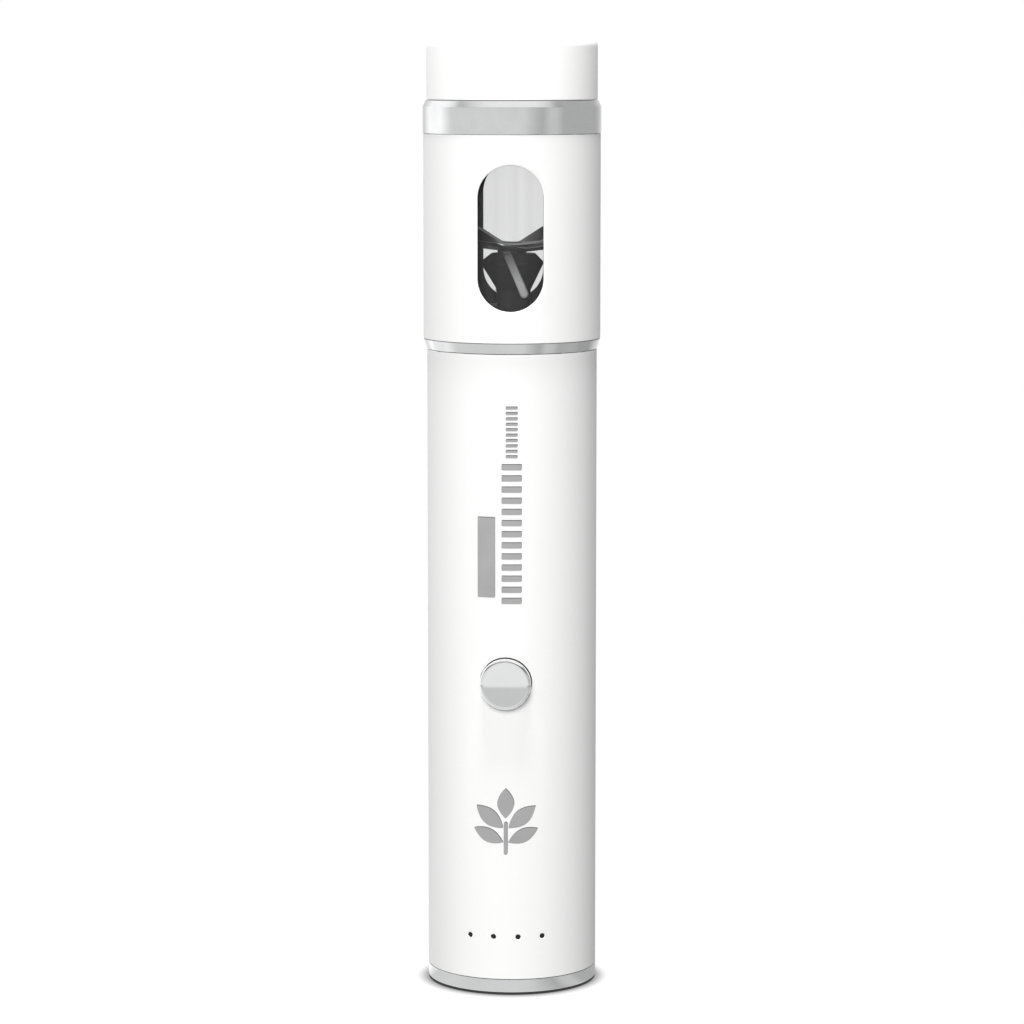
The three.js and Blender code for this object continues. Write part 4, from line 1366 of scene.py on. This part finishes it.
@dataclass(frozen=True)
class StrokeRow:
    """An upright row of plain strokes, the lowest one's middle at (across, bottom)."""

    across: float
    bottom: float
    pitch: float
    width: float
    height: float
    count: int


STROKE_ROWS = (StrokeRow(1.21, 82.0, 2.28, 4.1, 1.15, 13), StrokeRow(1.21, 111.5, 1.1, 2.4, 0.5, 10))


@dataclass
class BodyShell(SubAssembly):
    """The painted tube, its charge lights and its marks."""

    light_radius: float = 0.55
    light_azimuths: tuple[int, ...] = (-21, -7, 7, 21)
    socket_radius: float = 1.85
    socket_straight: float = 2.85
    button_gap: float = 0.12
    mark_lift: float = 0.02
    mark_sunk: float = 0.05
    # how far up the dark copy of the marks is shifted; its sliver is painted shade along their top edges
    mark_painted_shade: float = 0.16
    sprig_bottom: float = 29.4
    stem: tuple[float, float, float] = (3.4, 6.8, 0.8)
    block_centre: Point = (-4.04, 90.9)
    block_size: Point = (3.7, 16.4)

    def build(self) -> None:
        """Makes and places the tube's pieces."""
        tube, lights = Extent.of("body_tube"), Extent.of("light_pipe")
        button, socket = Extent.of("push_button"), Extent.of("charge_socket")
        openings = [
            Opening(
                FRONT, button.middle.z, BUTTON_RADIUS + self.button_gap, edge=0.12,
                half_columns=23, half_height=8,
            ),
            Opening(
                REAR, socket.middle.z, self.socket_radius, straight=self.socket_straight,
                edge=0.15, half_columns=20, half_height=3.3,
            ),
        ]
        openings += [
            Opening(azimuth, lights.middle.z, self.light_radius, edge=0.05)
            for azimuth in self.light_azimuths
        ]
        bore = tube.radius - TUBE_WALL
        shell = PiercedShell(tube.radius, bore, tube.bottom, tube.top, openings, rim=SHELL_RIM)
        made = self.meshed("body_shell", shell.mesh(), WHITE_PAINT)
        self.keep(made, "housing", "white_paint", "body_tube")
        self.marks(tube.radius)

    def leaf(self, root: Point, turn: float, length: float, width: float) -> list[Point]:
        """A pointed oval leaf.

        Args:
            root: Where it leaves the stem.
            turn: Which way it points, in radians from upright.
            length: From root to tip.
            width: Across its middle.

        Returns:
            Its outline.
        """
        steps = 14
        right = [(width / 2 * math.sin(math.pi * i / steps) ** 0.9, length * i / steps)
                 for i in range(steps + 1)]
        left = [(-x, y) for x, y in reversed(right[1:-1])]
        cosine, sine = math.cos(turn), math.sin(turn)
        return [(root[0] + x * cosine + y * sine, root[1] - x * sine + y * cosine)
                for x, y in right + left]

    def bar(self, centre: Point, length: float, width: float) -> list[Point]:
        """An upright bar with round ends."""
        x, y = centre
        half, end = length / 2 - width / 2, width / 2
        return arc((x, y + half), end, 0, math.pi, 10) + arc((x, y - half), end, math.pi, FULL_TURN, 10)

    def stroke(self, centre: Point, width: float, height: float) -> list[Point]:
        """A rectangle with slightly rounded corners."""
        x, y = centre
        low, high = (x - width / 2, y - height / 2), (x + width / 2, y + height / 2)
        return rounded(box_outline(low, high, 0.14), 3)

    def marks(self, radius: float) -> None:
        """A leaf sprig low on the tube, and a plain block beside plain strokes above the button, each
        over a dark copy whose sliver is painted shade along its top edge.
        """
        low = self.sprig_bottom
        sprig = [self.leaf((0, low + 7.6), 0, 6.2, 3.5)]
        for side in (-1, 1):
            sprig.append(self.leaf((side * 0.55, low + 5.6), side * 0.9, 7.2, 3.2))
            sprig.append(self.leaf((side * 0.5, low + 2.6), side * 1.15, 6.8, 2.8))
        middle, length, width = self.stem
        sprig.append(self.bar((0, low + middle), length, width))
        bars = [self.stroke(self.block_centre, *self.block_size)]
        for row in STROKE_ROWS:
            bars += [
                self.stroke((row.across, row.bottom + row.pitch * step), row.width, row.height)
                for step in range(row.count)
            ]
        for name, outlines in (("leaf_sprig", sprig), ("plain_strokes", bars)):
            # Each outline is laid twice: the grey print, and under it a dark copy shifted up and aside
            # whose sliver is painted shade along the print's top edge.
            for tag, finish, lift, shift in (
                ("", SPRIG_GREY, self.mark_lift, (0, 0)),
                ("_shade", SPRIG_PAINTED_SHADE, self.mark_lift / 2, (0.06, self.mark_painted_shade)),
            ):
                parts = [self.wrapped(outline, radius, lift, shift) for outline in outlines]
                mesh = settle(combined((part, UPRIGHT) for part in parts))
                made = self.meshed(name + tag, mesh, finish)
                self.keep(made, "housing", "white_paint")

    def wrapped(
        self, outline: Sequence[Point], radius: float, lift: float, shift: Point,
    ) -> bmesh.types.BMesh:
        """A thin flat mark bent round the tube's front.

        Args:
            outline: Its outline, sideways and up.
            radius: The tube's radius.
            lift: How far it stands proud.
            shift: How far it is moved, sideways and up.

        Returns:
            The mark.
        """
        work = bmesh.new()
        base = work.faces.new([work.verts.new((x + shift[0], 0, z + shift[1])) for x, z in outline])
        raised = bmesh.ops.extrude_face_region(work, geom=[base])["geom"]
        for part in raised:
            if isinstance(part, bmesh.types.BMVert):
                part.co.y = 1
        reach = max(abs(x) for x, _ in outline) + 1
        steps = round(2 * reach / 0.5)
        for i in range(steps + 1):
            cut = -reach + 2 * reach * i / steps
            bmesh.ops.bisect_plane(
                work, geom=[*work.verts, *work.edges, *work.faces],
                plane_co=(cut, 0, 0), plane_no=(1, 0, 0),
            )
        for point in work.verts:
            depth = radius + (lift if point.co.y > 0.5 else -self.mark_sunk)
            turn = point.co.x / radius
            point.co = (depth * math.sin(turn), -depth * math.cos(turn), point.co.z)
        return work


@dataclass
class Button(SubAssembly):
    """The polished push button."""

    corner: float = 0.7
    flange: float = 0.85
    flange_front: float = 14.87
    flange_thickness: float = 0.9
    boss: float = 2.2

    def build(self) -> None:
        """Makes and places the button."""
        box = Extent.of("push_button")
        radius = box.radius - self.flange
        face, back = -box.low.y, -box.high.y
        front, behind = self.flange_front, self.flange_front - self.flange_thickness
        dome = rounded([(radius, front, 0), (radius, face, self.corner), (0, face, 0)], 10)
        outline = [
            (0, back), (self.boss, back), (self.boss, behind),
            (box.radius, behind), (box.radius, front), *dome,
        ]
        place = Matrix.Translation((0, 0, box.middle.z * MM)) @ TO_FRONT
        made = TURNED.piece("thumb_button", outline, POLISHED, place, 192)
        self.keep(made, "button", "polished_button", "push_button")


@dataclass
class Neck(SubAssembly):
    """The collar that the head pushes onto, with its seals."""

    radius: float = 15.9
    bore: float = 12.2
    groove_floor: float = 14.98
    bearing: float = 5.0
    shaft_bore: float = 2.3

    def build(self) -> None:
        """Makes and places the neck's pieces."""
        collar, tube = Extent.of("neck_collar"), Extent.of("body_tube")
        seal, ring = Extent.of("shaft_seal"), Extent.of("neck_o_ring")
        neck, bore, bearing, shaft = self.radius, self.bore, self.bearing, self.shaft_bore
        groove, floor = ring.middle.z, self.groove_floor
        outline = rounded([
            (bore, collar.bottom, 0.2), (collar.radius, collar.bottom, 0.2),
            (collar.radius, tube.top, 0.1), (neck, tube.top, 0), *self.grooved(neck, floor, groove),
            (neck, collar.top - 0.6, 0.1), (neck - 0.6, collar.top, 0.1),
            (bearing, collar.top, 0.12), (bearing, collar.top - 2.4, 0),
            (shaft, collar.top - 2.4, 0), (shaft, collar.top - 3.6, 0), (bore, collar.top - 3.6, 0),
        ])
        made = TURNED.piece("neck_shell", outline, BLACK_PLASTIC)
        self.keep(made, "housing", "black_plastic", "neck_collar")
        self.seal("neck_ring_seal", "neck_seal", "neck_o_ring")
        outline = rounded([
            (2.15, seal.bottom, 0.1), (seal.radius, seal.bottom, 0.1), (seal.radius, seal.top, 0.15),
            (3.4, seal.top, 0.1), (2.8, seal.top - 0.9, 0.1), (2.15, seal.top - 0.5, 0.1),
        ])
        made = TURNED.piece("shaft_lip_seal", outline, SILICONE, facets=96)
        self.keep(made, "housing", "silicone", "shaft_seal")


@dataclass
class Cutters(SubAssembly):
    """The hub and the three stamped cutters on it."""

    sheet: float = 0.65
    edge: float = 0.12
    reach: float = 13.4
    pitch: float = math.radians(12)
    lean: float = math.radians(23)
    finger_half: float = 0.88
    finger_drop: float = 8.9
    hub_flutes: Flutes = (3, 0.85, 2.3, 6.5)
    highlight_facing: float = 0.75  # the least cosine between a face with the painted highlight and the way it looks

    def build(self) -> None:
        """Makes and places the hub and the cutters."""
        self.hub()
        self.finger()
        self.flat()
        self.vee()
        self.screw()

    def hub(self) -> None:
        """The hub: a fluted post that widens to a shoulder."""
        box = Extent.of("grind_hub")
        bore, post, top_radius = 2.1, 3.85, 4.8
        outline = rounded([
            (bore, box.bottom, 0.1), (post, box.bottom, 0.25), (post, box.bottom + 4.0, 1.0),
            (box.radius, box.top - 1.9, 0.5), (top_radius, box.top, 0.4), (bore, box.top, 0.1),
        ], 8)
        made = TURNED.piece(
            "hub_post", outline, BLACK_CUTTER, facets=240, flutes=self.hub_flutes,
        )
        self.keep(made, "carrier", "black_cutter", "grind_hub")

    def finger(self) -> None:
        """The washer whose two fingers hang down in front of and behind the hub."""
        box, hub = Extent.of("finger_cutter"), Extent.of("grind_hub")
        bottom, standoff, bar = hub.top + 0.1, hub.radius + 0.5, 0.95
        half, drop = self.finger_half, self.finger_drop
        outline = [(-half, 0), *arc((0, -drop), half, math.pi, FULL_TURN, 14), (half, 0)]
        washer = arc((0, 0), 3.0, 0, FULL_TURN * 47 / 48, 47)
        parts = [(plate(washer, bottom, box.top, 0.08), UPRIGHT)]
        for turn in (0, math.pi):
            round_hub = Matrix.Rotation(turn, 4, "Z")
            place = (
                round_hub @ Matrix.Translation((-0.4, -standoff, box.top - 0.55))
                @ Matrix.Rotation(-self.lean, 4, "Y") @ TO_FRONT
            )
            parts.append((plate(outline, 0, bar, 0.3), place))
            arm = [(-1.2, -standoff - bar), (0.4, -standoff - bar), (0.4, 0), (-1.2, 0)]
            parts.append((plate(arm, bottom, box.top, 0.12), round_hub))
        made = self.meshed("finger_blade", settle(combined(parts)), CUTTER_STEEL)
        self.keep(made, "carrier", "cutter_steel", "finger_cutter")

    def places(self, reach: float, steps: int) -> list[float]:
        """Distances along a blade, closer together towards its two tips."""
        turns = [math.pi * i / steps for i in range(steps + 1)]
        return [-reach * math.cos(turn) for turn in turns]

    def tip(self, out: float, start: float, end: float) -> float:
        """How much of a blade's width is left near its round tip."""
        share = max(0.0, (out - start) / (end - start))
        return math.sqrt(max(0.01, 1 - share**2))

    def blade(
        self, name: str, stations: Sequence[Station], ground: Sequence[Vector], node: str,
    ) -> None:
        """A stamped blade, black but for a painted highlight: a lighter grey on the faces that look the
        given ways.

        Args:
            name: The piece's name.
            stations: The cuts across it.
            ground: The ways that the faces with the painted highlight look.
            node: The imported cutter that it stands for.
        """
        solid = loft(stations, self.sheet, self.edge)
        made = self.meshed(name, settle(combined([(solid, UPRIGHT)])), BLACK_CUTTER)
        # Painted highlight: the faces that look the given ways take the lighter grey.
        made.data.materials.append(PAINTED_HIGHLIGHT_CUTTER.material())
        for face in made.data.polygons:
            if any(face.normal.dot(way) > self.highlight_facing for way in ground):
                face.material_index = 1
        self.keep(made, "carrier", "black_cutter", node)

    def flat(self) -> None:
        """The flat cutter: a round middle between two pitched, slightly raised lobes."""
        bottom = Extent.of("finger_cutter").top + 0.1
        middle, lobe, tip_start = 4.3, 2.9, 11.0
        stations = []
        for along in self.places(self.reach, 72):
            out, side = abs(along), math.copysign(1, along)
            half = max(math.sqrt(max(0, middle**2 - out**2)), lobe)
            half *= self.tip(out, tip_start, self.reach)
            twist = side * self.pitch * min(1.0, max(0.0, (out - 1.2) / 2))
            rise = 0.45 * min(out / 5.75, 1) ** 2 + 0.1 * max(0.0, out - 5.75)
            slant = half * math.tan(twist)
            level = bottom + rise
            stations.append(Station(along, (-half, level - slant), (half, level + slant)))
        # the flat cutter's upward faces take the painted highlight
        self.blade("flat_blade", stations, [Vector((0, 0, 1))], "flat_cutter")

    def vee(self) -> None:
        """The vee cutter: two wings that rise, each with its trailing edge the higher."""
        bottom = Extent.of("finger_cutter").top + 0.2 + self.sheet
        reach, root, knee, tip_start = self.reach - 0.8, 1.25, 6.0, 11.2
        stations = []
        for along in self.places(reach, 72):
            out = abs(along)
            half = 2.5 + 0.7 * min(1, out / 3) - 0.22 * max(0, out - knee)
            half *= self.tip(out, tip_start, reach)
            outer = 0.42 * max(0, out - knee)
            high = bottom + 0.665 * max(0, min(out, knee) - root) + outer
            low = bottom + 0.10 * max(0, min(out, knee) - root) + outer
            middle, slant = (high + low) / 2, (high - low) / 2 * min(1, half / 1.9)
            slant = math.copysign(slant, along)
            stations.append(Station(along, (-half, middle - slant), (half, middle + slant)))
        # the vee's front and back edge strips take the painted highlight
        self.blade("vee_blade", stations, [Vector((0, -1, 0)), Vector((0, 1, 0))], "vee_cutter")

    def screw(self) -> None:
        """The countersunk screw that holds the cutters down."""
        box = Extent.of("cutter_screw")
        head, shank = 1.45, 0.75
        outline = [
            (0, box.bottom), (shank, box.bottom + 0.3), (shank, box.top - (head - shank)),
            (head, box.top - 0.05), (head - 0.05, box.top), (0, box.top),
        ]
        made = SCREWS.pieces(
            "cutter_hub_screw", outline, PLATED_STEEL, Vector((0, 0, 0)), Vector((0, 0, 0)),
            (1.5, 0.38, 0.45), box.top, 1,
        )
        self.keep(made, "carrier", "plated_steel", "cutter_screw")


@dataclass
class Head(SubAssembly):
    """The sleeve with its two windows, its rings and the clear chamber."""

    wall: float = 1.1
    window_radius: float = 6.65
    rear_window_radius: float = 6.3
    rear_raised: float = 0.8
    window_sill: float = 6.35
    window_lintel: float = 6.05
    turned: float = math.radians(3.3)

    def build(self) -> None:
        """Makes and places the head's pieces."""
        self.sleeve()
        self.rings()
        self.chamber()

    def sleeve(self) -> None:
        """The painted sleeve."""
        box = Extent.of("head_sleeve")
        sill, lintel = box.bottom + self.window_sill, box.top - self.window_lintel
        half = (lintel - sill) / 2
        windows = [
            Opening(
                azimuth, (sill + lintel + rise) / 2, radius, straight=half - rise / 2 - radius,
                upright=True, edge=0.18, half_columns=25, half_height=half + 2.2,
            )
            for azimuth, radius, rise in (
                (FRONT, self.window_radius, 0.0), (REAR, self.rear_window_radius, self.rear_raised),
            )
        ]
        shell = PiercedShell(
            box.radius, box.radius - self.wall, box.bottom, box.top, windows,
            rim=SHELL_RIM, row_pitch=0.8,
        )
        mesh = shell.mesh()
        mesh.transform(Matrix.Rotation(self.turned, 4, "Z"))
        made = self.meshed("sleeve_shell", mesh, LINED_PAINT)
        self.keep(made, "head", "white_paint", "head_sleeve")

    def rings(self) -> None:
        """The bevel ring below the sleeve and the top ring above it."""
        bevel, sleeve = Extent.of("bevel_ring"), Extent.of("head_sleeve")
        ring, body, cap = Extent.of("top_ring"), Extent.of("body_tube"), Extent.of("cap")
        bore, spigot = 16.1, 17.0
        edge = sleeve.bottom - PARTING
        outline = rounded([
            (bore, bevel.bottom, 0.1), (body.radius, bevel.bottom, 0.08),
            (sleeve.radius, edge, 0.06), (spigot, edge, 0), (spigot, bevel.top, 0.2),
            (bore, bevel.top, 0.2),
        ])
        made = TURNED.piece("bevel_band", outline, ALUMINIUM)
        self.keep(made, "head", "satin_aluminium", "bevel_ring")
        bottom = sleeve.top + PARTING
        lip = 16.3
        outline = rounded([
            (17.15, bottom, 0.05), (ring.radius, bottom, 0.08), (ring.radius, ring.top - 1.3, 0.1),
            (cap.radius + 0.15, ring.top, 0.08), (lip, ring.top, 0.1), (lip, ring.top - 2.0, 0),
            (17.15, ring.top - 2.0, 0),
        ])
        made = TURNED.piece("top_band", outline, ALUMINIUM)
        self.keep(made, "head", "satin_aluminium", "top_ring")

    def chamber(self) -> None:
        """The clear chamber."""
        box, ring = Extent.of("chamber"), Extent.of("top_ring")
        bore, outer, neck, floor = 14.6, 17.0, 16.15, 15.38
        shoulder, groove = ring.top - 2.2, Extent.of("cap_o_ring").middle.z
        outline = rounded([
            (bore, box.bottom, 0.3), (outer, box.bottom, 0.3), (outer, shoulder, 0.3),
            (neck, shoulder, 0.1), *self.grooved(neck, floor, groove), (neck, box.top - 0.4, 0.05),
            (neck - 0.4, box.top, 0.1), (bore, box.top, 0.3),
        ])
        made = TURNED.piece("clear_chamber", outline, CLEAR)
        self.keep(made, "head", "clear_plastic", "chamber")


@dataclass
class CapLid(SubAssembly):
    """The cap and the ring that seals it."""

    wall: float = 1.1
    roof: float = 1.6
    corner: float = 4.5

    def build(self) -> None:
        """Makes and places the cap and its ring."""
        box, corner = Extent.of("cap"), self.corner
        bore, inner_top = box.radius - self.wall, box.top - self.roof
        inner = corner - self.wall
        quarter = math.pi / 2
        outside = arc((box.radius - corner, box.top - corner), corner, 0, quarter, 24)
        inside = arc((bore - inner, inner_top - inner), inner, quarter, 0, 16)
        rim = rounded([
            (bore, box.bottom + 2, 0), (bore, box.bottom, 0.15),
            (box.radius, box.bottom, 0.15), (box.radius, box.bottom + 2, 0),
        ], 5)
        outline = [*rim[1:-1], *outside, (0, box.top), (0, inner_top), *inside]
        start = outline.index((0, inner_top))
        outline = outline[start:] + outline[:start]
        # the cap's lighter white is painted light
        made = TURNED.piece("cap_shell", outline, CAP_PAINT_WITH_PAINTED_LIGHT)
        self.keep(made, "cap", "white_cap", "cap")
        self.seal("cap_ring_seal", "cap_seal", "cap_o_ring")


@dataclass
class Internals(SubAssembly):
    """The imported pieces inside, which keep their shapes and get their finishes."""

    finishes: dict[str, Finish] = field(default_factory=lambda: {
        "base_plug": BLACK_PLASTIC, "chassis_": BLACK_PLASTIC, "charge_board": BOARD,
        "charge_socket_insert": BLACK_PLASTIC, "charge_socket": NICKEL,
        "charge_light": LIGHT_PACKAGE, "light_pipe": SMOKED, "cell_tab": NICKEL,
        "cell_lead": RED_INSULATION, "cell": CELL_WRAP, "switch_housing": BLACK_PLASTIC,
        "switch_board": BOARD, "switch_plunger": BLACK_PLASTIC,
        "motor_lead_red": RED_INSULATION, "motor_lead_black": BLACK_INSULATION,
        "motor_can": NICKEL, "motor_end_cap": BLACK_PLASTIC, "motor_terminal": NICKEL,
        "motor_magnet": FERRITE, "motor_shaft": PLATED_STEEL, "armature_core": PLATED_STEEL,
        "armature_winding": COPPER, "commutator": COPPER, "ring_gear": GEAR_NYLON,
        "sun_gear": BRONZE, "planet_gear": GEAR_NYLON, "planet_carrier": PLATED_STEEL,
        "output_shaft": PLATED_STEEL, "gearbox_cover": PLATED_STEEL,
        "collar_screw": PLATED_STEEL,
    })

    def build(self, nodes: Mapping[str, bpy.types.Object]) -> None:
        """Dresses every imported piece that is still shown.

        Args:
            nodes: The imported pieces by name.
        """
        for name, node in nodes.items():
            if node.hide_render:
                continue
            fitting = [stem for stem in self.finishes if name.startswith(stem)]
            finish = self.finishes[max(fitting, key=len)]
            node.data.materials.clear()
            node.data.materials.append(finish.material())
            log.info("%s keeps its shape, finish %s", name, finish.slot)


# ------------------------------------------------------------------------------- studio


@dataclass(frozen=True)
class Panel:
    """One upright panel or grey flag of the studio, which bright metal mirrors.

    It stands azimuth degrees to the right of the camera, reaches half degrees to each side and
    fades out over fade degrees more. light is what it adds to the room's tone.
    """

    azimuth: float
    half: float
    fade: float
    light: float


ROOM_TONE = 0.7
BRIGHT_STRIP = Panel(-120, 15, 20, 0.4)
GREY_FLAG = Panel(90, 50, 25, -0.25)
PALE_STRIP = Panel(55, 5, 10, 0.15)


@dataclass(frozen=True)
class Studio:
    """The camera, the floor and the light."""

    azimuth: float = math.radians(4.3)
    pitch: float = math.radians(6.88)
    distance: float = 0.7755
    aim_height: float = 0.0982
    lens: float = 131.27
    floor_radius: float = 0.402
    key_azimuth: float = math.radians(-9.5)
    key_elevation: float = math.radians(30)
    key_distance: float = 1.6
    key_size: float = 0.9
    key_power: float = 23.0
    rear_power: float = 12.0
    top_power: float = 60.0
    ambient: float = 0.35
    rear_azimuth: float = math.radians(-150)
    rear_elevation: float = math.radians(20)
    top_elevation: float = math.radians(88)
    top_size: float = 0.4
    overhead: float = 0.93
    # the reach and the darkest tone of the floor's painted contact shadow
    contact_reach: float = 0.0035
    contact_tone: float = 0.05

    def direction(self, azimuth: float, elevation: float) -> Vector:
        """The way to something seen from the object.

        Args:
            azimuth: To the right of the camera.
            elevation: Above the level.

        Returns:
            A direction of length 1.
        """
        turn = self.azimuth + azimuth
        level = math.cos(elevation)
        return Vector((math.sin(turn) * level, -math.cos(turn) * level, math.sin(elevation)))

    def camera(self) -> None:
        """Sets the camera at a standing product's eye level, looking a little down."""
        data = bpy.data.cameras.new("studio_camera")
        data.lens = self.lens
        data.sensor_width = 36
        data.clip_start = 0.01
        camera = bpy.data.objects.new("studio_camera", data)
        camera.location = self.direction(0, self.pitch) * self.distance + Vector((0, 0, self.aim_height))
        camera.rotation_euler = (math.pi / 2 - self.pitch, 0, self.azimuth)
        bpy.context.scene.collection.objects.link(camera)
        bpy.context.scene.camera = camera

    def lamp(self, name: str, azimuth: float, elevation: float, power: float, size: float) -> None:
        """One square soft light that polished metal doesn't mirror.

        Args:
            name: Its name.
            azimuth: To the right of the camera.
            elevation: Above the level.
            power: In watts.
            size: Its side, in metres.
        """
        data = bpy.data.lights.new(name, "AREA")
        data.shape = "SQUARE"
        data.size = size
        data.energy = power
        lamp = bpy.data.objects.new(name, data)
        way = self.direction(azimuth, elevation)
        lamp.location = way * self.key_distance + Vector((0, 0, self.aim_height))
        lamp.rotation_euler = way.to_track_quat("Z", "Y").to_euler()
        lamp.visible_glossy = False
        bpy.context.scene.collection.objects.link(lamp)

    def mirrored(self, graph: Graph, x: Value, y: Value) -> Value:
        """What bright metal mirrors in each direction round the object.

        Args:
            graph: The tree.
            x: The direction's x.
            y: Its y.

        Returns:
            The tone of the room and its panels.
        """
        turn = (x.apply("ARCTAN2", 0 - y) - self.azimuth) * (360 / FULL_TURN)
        tone: Any = ROOM_TONE
        for panel in (BRIGHT_STRIP, GREY_FLAG, PALE_STRIP):
            outside = abs(turn - panel.azimuth).between(panel.half, panel.half + panel.fade)
            tone = tone + panel.light * (1 - outside)
        return tone

    def surroundings(self) -> None:
        """White for the camera, dim for matt surfaces, and the room's panels for bright ones."""
        world = bpy.data.worlds.new("studio_surroundings")
        bpy.context.scene.world = world
        world.use_nodes = True
        world.cycles.sampling_method = "NONE"
        graph = Graph(world.node_tree)
        x, y, z = graph.split(graph.out("ShaderNodeTexCoord", None, None, "Generated"))
        elevation = z.apply("ARCSINE") * (360 / FULL_TURN)
        below = 1 + 0.15 * (0 - elevation).between(4, 7)
        ahead = (0 - y).between(0.05, 0.3)
        dark = elevation.between(15, 19) * (1 - elevation.between(36, 40)) * ahead
        overhead = elevation.between(42, 46)
        bands = self.mirrored(graph, x, y) * below * (1 - 0.75 * dark)
        bands = bands * (1 - overhead) + self.overhead * overhead
        path = graph.node("ShaderNodeLightPath")
        glossy = Value(graph, path.outputs["Is Glossy Ray"])
        camera = Value(graph, path.outputs["Is Camera Ray"])
        seen = self.ambient * (1 - glossy) + bands * glossy
        seen = seen * (1 - camera) + camera
        background = graph.out(
            "ShaderNodeBackground", None, {"Color": (1, 1, 1, 1), "Strength": seen},
        )
        graph.node("ShaderNodeOutputWorld", None, {"Surface": background})

    def floor(self) -> None:
        """A round table top that glows: white for the camera, with a painted contact shadow where the
        base stands on it.

        For bright surfaces its glow is a painted reflection of the room's panels, as in the room itself.
        """
        data = bpy.data.meshes.new("table_top")
        rim = arc((0, 0), self.floor_radius, 0, FULL_TURN * 127 / 128, 127)
        data.from_pydata([(x, y, 0) for x, y in rim], [], [list(range(len(rim)))])
        floor = bpy.data.objects.new("table_top", data)
        bpy.context.scene.collection.objects.link(floor)
        material = bpy.data.materials.new("table_white")
        material.use_nodes = True
        graph = Graph(material.node_tree)
        open_sky = graph.out(
            "ShaderNodeAmbientOcclusion", {"samples": 16}, {"Distance": self.contact_reach}, "AO",
        )
        # painted contact shadow: the floor's glow dims where the base shuts out its surroundings
        shadow = open_sky.between(0.35, 0.92)
        path = graph.node("ShaderNodeLightPath")
        camera = Value(graph, path.outputs["Is Camera Ray"])
        glossy = Value(graph, path.outputs["Is Glossy Ray"])
        x, y, _ = graph.split(graph.place())
        radius = (x * x + y * y).apply("SQRT")
        # painted reflection: for glossy rays the floor glows with the room's panels, a little darker
        # beyond 25 cm
        mirrored = self.mirrored(graph, x, y) * (1 - 0.18 * radius.between(0.25, 0.27))
        matt = self.ambient * (1 - glossy) + mirrored * glossy
        strength = camera * (self.contact_tone + 0.97 * shadow) + (1 - camera) * matt
        glow = graph.out("ShaderNodeEmission", None, {"Color": (1, 1, 1, 1), "Strength": strength})
        graph.node("ShaderNodeOutputMaterial", None, {"Surface": glow})
        data.materials.append(material)

    def build(self) -> None:
        """Sets up the whole studio."""
        bpy.context.scene.view_settings.view_transform = "Standard"
        self.camera()
        self.surroundings()
        for name, azimuth, elevation, power, size in (
            ("key_light", self.key_azimuth, self.key_elevation, self.key_power, self.key_size),
            ("rear_light", self.rear_azimuth, self.rear_elevation, self.rear_power, self.key_size),
            ("top_light", 0, self.top_elevation, self.top_power, self.top_size),
        ):
            self.lamp(name, azimuth, elevation, power, size)
        self.floor()


def main() -> None:
    """Loads the frame and builds each sub-assembly round it."""
    logging.basicConfig(level=logging.INFO, format="%(name)s: %(message)s")
    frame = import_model()
    Studio().build()
    for part in (Base(), BodyShell(), Button(), Neck(), Cutters(), Head(), CapLid()):
        log.info("building %s", type(part).__name__)
        part.build()
    Internals().build(frame["nodes"])


if __name__ == "__main__":
    main()
